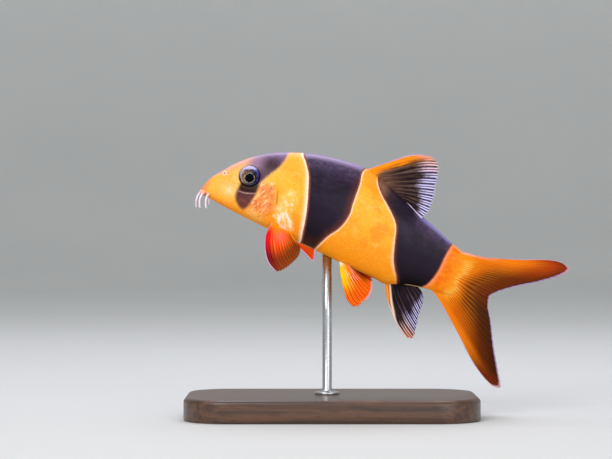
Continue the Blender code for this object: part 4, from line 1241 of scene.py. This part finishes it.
def make_fin(name, node, slot, finish, edges, rays, fork, rows, seed, root_thick=1.2, fray=1.0, notch=None, **shape):
    """A thin fin with forked rays and a frayed margin, thickened to both sides of its middle surface. A notch is its
    place across and its depth."""
    columns = (rays - 1) * PER_RAY + 1
    sheet = fin_sheet(**edges, columns=columns, rows=rows, **shape)
    share = np.linspace(0, 1, columns)[:, None]
    t = np.linspace(0, 1, rows)[None]
    number = share * (rays - 1)
    offset = np.abs(number - np.round(number))
    gap = np.abs(offset - RAY_FORK * ease(t, fork, fork + RAY_FORK_LENGTH))
    ridge = bell(gap, RAY_WIDTH - RAY_NARROWING * t)

    rng = np.random.default_rng(seed)
    uneven = np.interp(number[:, 0] * 4, np.arange(4 * rays), rng.normal(0, FRAY_RANDOM, 4 * rays))
    fringe = FRAY_BETWEEN * ease(offset[:, 0], 0.3, 0.5) + FRAY_OFF_BRANCH * (1 - ridge[:, -1]) + np.abs(uneven)
    fringe *= fray * plateau(share[:, 0], 0, 0.05, 0.96, 1)
    if notch:
        fringe += notch[1] * bell(share[:, 0] - notch[0], NOTCH_WIDTH)
    outward = np.gradient(sheet, axis=1)
    sheet = sheet - outward / norm(outward, axis=2)[:, :, None] * (fringe[:, None] * t**8)[:, :, None]

    normal = np.cross(np.gradient(sheet, axis=0), outward)
    normal /= norm(normal, axis=2)[:, :, None]
    ripple = RIPPLE * np.sin(number * 2 * np.pi + 0.6) * ease(t, 0.2, 0.9) * plateau(share, 0, 0.1, 0.9, 1)
    sheet = sheet + normal * ripple[:, :, None]
    thick = MEMBRANE_THICK - MEMBRANE_THINNING * t + (RAY_THICK - RAY_THINNING * t) * ridge
    thick += LEAD_THICK * bell(share, LEAD_WIDTH) * (1 - LEAD_THINNING * t)
    thick = np.maximum(thick, root_thick * np.clip(1 - t / ROOT_REACH, 0, 1) ** 1.6)
    half = normal * thick[:, :, None] / 2
    points = np.concatenate([(sheet + half).reshape(-1, 3), (sheet - half).reshape(-1, 3)])

    other = columns * rows
    index = np.arange(other).reshape(columns, rows)
    border = np.concatenate([index[:, 0], index[-1, 1:], index[-2::-1, -1], index[0, -2:0:-1]]).tolist()
    faces = grid_faces(columns, rows) + grid_faces(columns, rows, first=other)
    faces += [(a, b, b + other, a + other) for a, b in zip(border, border[1:] + border[:1])]
    ray = np.stack(np.broadcast_arrays(share, t, ridge), axis=2).reshape(-1, 3)
    make_piece(name, points, faces, finish, slot, (node,), place=points, ray=np.concatenate([ray, ray]))


def make_fins():
    make_fin(
        "dorsal_sail", "dorsal_fin", "dark_fin", dorsal_finish(), upright(DORSAL), DORSAL_RAYS, DORSAL_FORK,
        rows=96, seed=1, curl=-0.9, straight=2.5, lean=1.2,
    )
    make_fin(
        "anal_sail", "anal_fin", "dark_fin", anal_finish(), upright(ANAL), ANAL_RAYS, ANAL_FORK,
        rows=90, seed=2, curl=0.6, straight=1.6,
    )
    tail = caudal_finish()
    for word, seed, edges in (("upper", 3, CAUDAL_UPPER), ("lower", 4, CAUDAL_LOWER)):
        make_fin(
            f"tail_lobe_{word}", f"caudal_fin_{word}", "orange_fin", tail, upright(edges), TAIL_RAYS, TAIL_FORK,
            rows=120, seed=seed, root_thick=1.5, fray=0.35, **TAIL_SHAPE,
        )
    kinds = {
        "pectoral": (pectoral_finish(), PECTORAL_RAYS, PECTORAL_FORK, None),
        "pelvic": (pelvic_finish(), PELVIC_RAYS, PELVIC_FORK, (0.3, 0.55)),
    }
    for seed, (node, (form, *axes, sink)) in enumerate(PAIRED.items(), 10):
        root_at, reach, chord = np.array(axes, float)
        edges = {edge: [root_at + chord * c + reach * r for c, r in points] for edge, points in form.items()}
        edges["root"] = [point + sink for point in edges["root"]]
        finish, rays, fork, notch = kinds[node.split("_")[0]]
        make_fin(
            node.replace("_fin_", "_paddle_"), node, "red_fin", finish, edges, rays, fork, rows=90, seed=seed,
            root_thick=1.7, notch=notch, curl=PAIRED_CURL if node.endswith("left") else -PAIRED_CURL, straight=1.8,
        )


def make_barbels():
    """Tapering feelers, swollen at the root and blunt at the tip."""
    finish = barbel_finish()
    rings, sides = 64, 24
    t = np.linspace(-0.04, 1, rings)[:, None]
    turn = np.linspace(0, 2 * np.pi, sides, endpoint=False)[None, :, None]
    blunt = np.sqrt(np.clip(1 - ((t - 0.95) / 0.05).clip(0) ** 2, 0.0004, 1))
    girth = (1 - (1 - BARBEL_TIP) * np.clip(t, 0, 1) ** 0.8) * (1 + BARBEL_ROOT_SWELLING * bell(t, 0.12)) * blunt
    length = np.append(np.repeat(t, sides), [0, 1])
    ray = np.stack([0 * length, length, 0 * length], axis=1)
    count = rings * sides
    faces = grid_faces(rings, sides, closed=True) + fan(0, sides, count) + fan(count - sides, sides, count + 1)
    for kind, (*ends, radius) in BARBELS.items():
        for word, side in (("left", 1), ("right", -1)):
            root, elbow, tip = np.array(ends) * [1, side, 1]
            path = (1 - t) ** 2 * root + 2 * t * (1 - t) * elbow + t**2 * tip
            ahead = np.gradient(path, axis=0)
            ahead /= norm(ahead, axis=1)[:, None]
            level = np.cross(ahead, [0, 0, 1.0])
            level /= norm(level, axis=1)[:, None]
            over = np.cross(level, ahead)
            around = level[:, None] * np.cos(turn) + over[:, None] * np.sin(turn)
            tube = path[:, None] + around * (radius * girth)[:, :, None]
            points = np.vstack([tube.reshape(-1, 3), path[:1], path[-1:]])
            name, node = f"feeler_{kind}_{word}", f"barbel_{kind}_{word}"
            make_piece(name, points, faces, finish, "barbel", (node,), place=points, ray=ray)


def make_stand():
    """A walnut base with rounded corners and upper edge, and a steel rod with a collar at its foot."""
    edge = BASE_FOOT + arc(BASE_ROUNDING, BASE_HEIGHT - BASE_ROUNDING, BASE_ROUNDING, 2, 1, 10)
    edge += [(2.4, BASE_HEIGHT), (6.0, BASE_HEIGHT)]
    points = []
    for inset, z in edge:
        radius = BASE_CORNER - inset
        for quarter, (x, y) in enumerate(((1, 1), (-1, 1), (-1, -1), (1, -1))):
            x, y = x * (BASE_LENGTH / 2 - BASE_CORNER), y * (BASE_DEPTH / 2 - BASE_CORNER)
            for turn in np.linspace(quarter, quarter + 1, CORNER_POINTS) * math.pi / 2:
                points.append((x + radius * math.cos(turn), y + radius * math.sin(turn), z))
    count = 4 * CORNER_POINTS
    faces = grid_faces(len(edge), count, closed=True)
    faces += [tuple(range(count)), tuple(range(len(points) - count, len(points)))]
    make_piece("stand_plinth", points, faces, wood_finish(), "base", ("stand_base",), world=True)

    at = np.interp([ROD_AT_U], STATIONS[:, 2], range(len(STATIONS)))
    belly = body_rows(at)[0][0, 0]
    x, y, z = fish_to_world([(ROD_AT_U, 0, belly[2])])[0] / MM
    top = z + ROD_INTO_BODY
    collar = [(3.3, 5.7), (3.3, 6.5)] + arc(3.0, 6.5, 0.3, 0, 1, 6) + [(2.1, 6.8)] + arc(2.1, 7.4, 0.6, -1, -2, 7)
    rod = [(ROD_RADIUS, 7.9), (ROD_RADIUS, (top + 8) / 2), (ROD_RADIUS, top)]
    points, faces = turned(collar + rod, POST_SIDES, x, y)
    faces.append(tuple(range(len(points) - POST_SIDES, len(points))))
    make_piece("stand_post", points, faces, steel_finish(), "rod", ("stand_rod",), world=True)


def make_stage():
    """A pale floor that sweeps up all round, soft lights, and the camera."""
    steps = [(r, 0.0) for r in (0.001, 0.3, 0.8, 1.3)] + arc(1.3, 1.1, 1.1, -1, 0, 20) + [(2.4, 1.6), (2.4, 2.4)]
    points, faces = turned(steps, SWEEP_SIDES)
    mesh = bpy.data.meshes.new("studio_sweep")
    mesh.from_pydata(points, [], faces)
    mesh.shade_smooth()
    mesh.materials.append(floor_finish())
    sweep = add_object("studio_sweep", mesh)

    for name, spot, size, power, colour in LAMPS:
        lamp = bpy.data.lights.new(name, "AREA")
        lamp.shape, lamp.size, lamp.energy, lamp.color = "DISK", size, power, colour
        light = add_object(name, lamp)
        light.location = spot
        light.rotation_euler = (LAMPS_AIM - Vector(spot)).to_track_quat("-Z", "Y").to_euler()

    scene = bpy.context.scene
    scene.view_settings.view_transform = "Standard"
    scene.world = bpy.data.worlds.new("studio_air")
    scene.world.use_nodes = True
    air = scene.world.node_tree.nodes["Background"].inputs
    air["Color"].default_value = AIR_COLOUR
    air["Strength"].default_value = AIR_STRENGTH

    camera = add_object("camera", bpy.data.cameras.new("camera"))
    x = SNOUT_X + (PICTURE[0] / 2 - SNOUT_PIXEL[0]) * PIXEL
    z = SNOUT_Z - (PICTURE[1] / 2 - SNOUT_PIXEL[1]) * PIXEL
    camera.location = (x * MM, -CAMERA_AWAY * MM, z * MM)
    camera.rotation_euler = (math.pi / 2, 0, 0)
    camera.data.sensor_width = SENSOR
    camera.data.lens = SENSOR * CAMERA_AWAY / (PICTURE[0] * PIXEL)
    camera.data.clip_start = 0.01
    camera.data.clip_end = 20
    scene.camera = camera


make_stage()
make_skin()
make_eyes()
make_fins()
make_barbels()
make_stand()
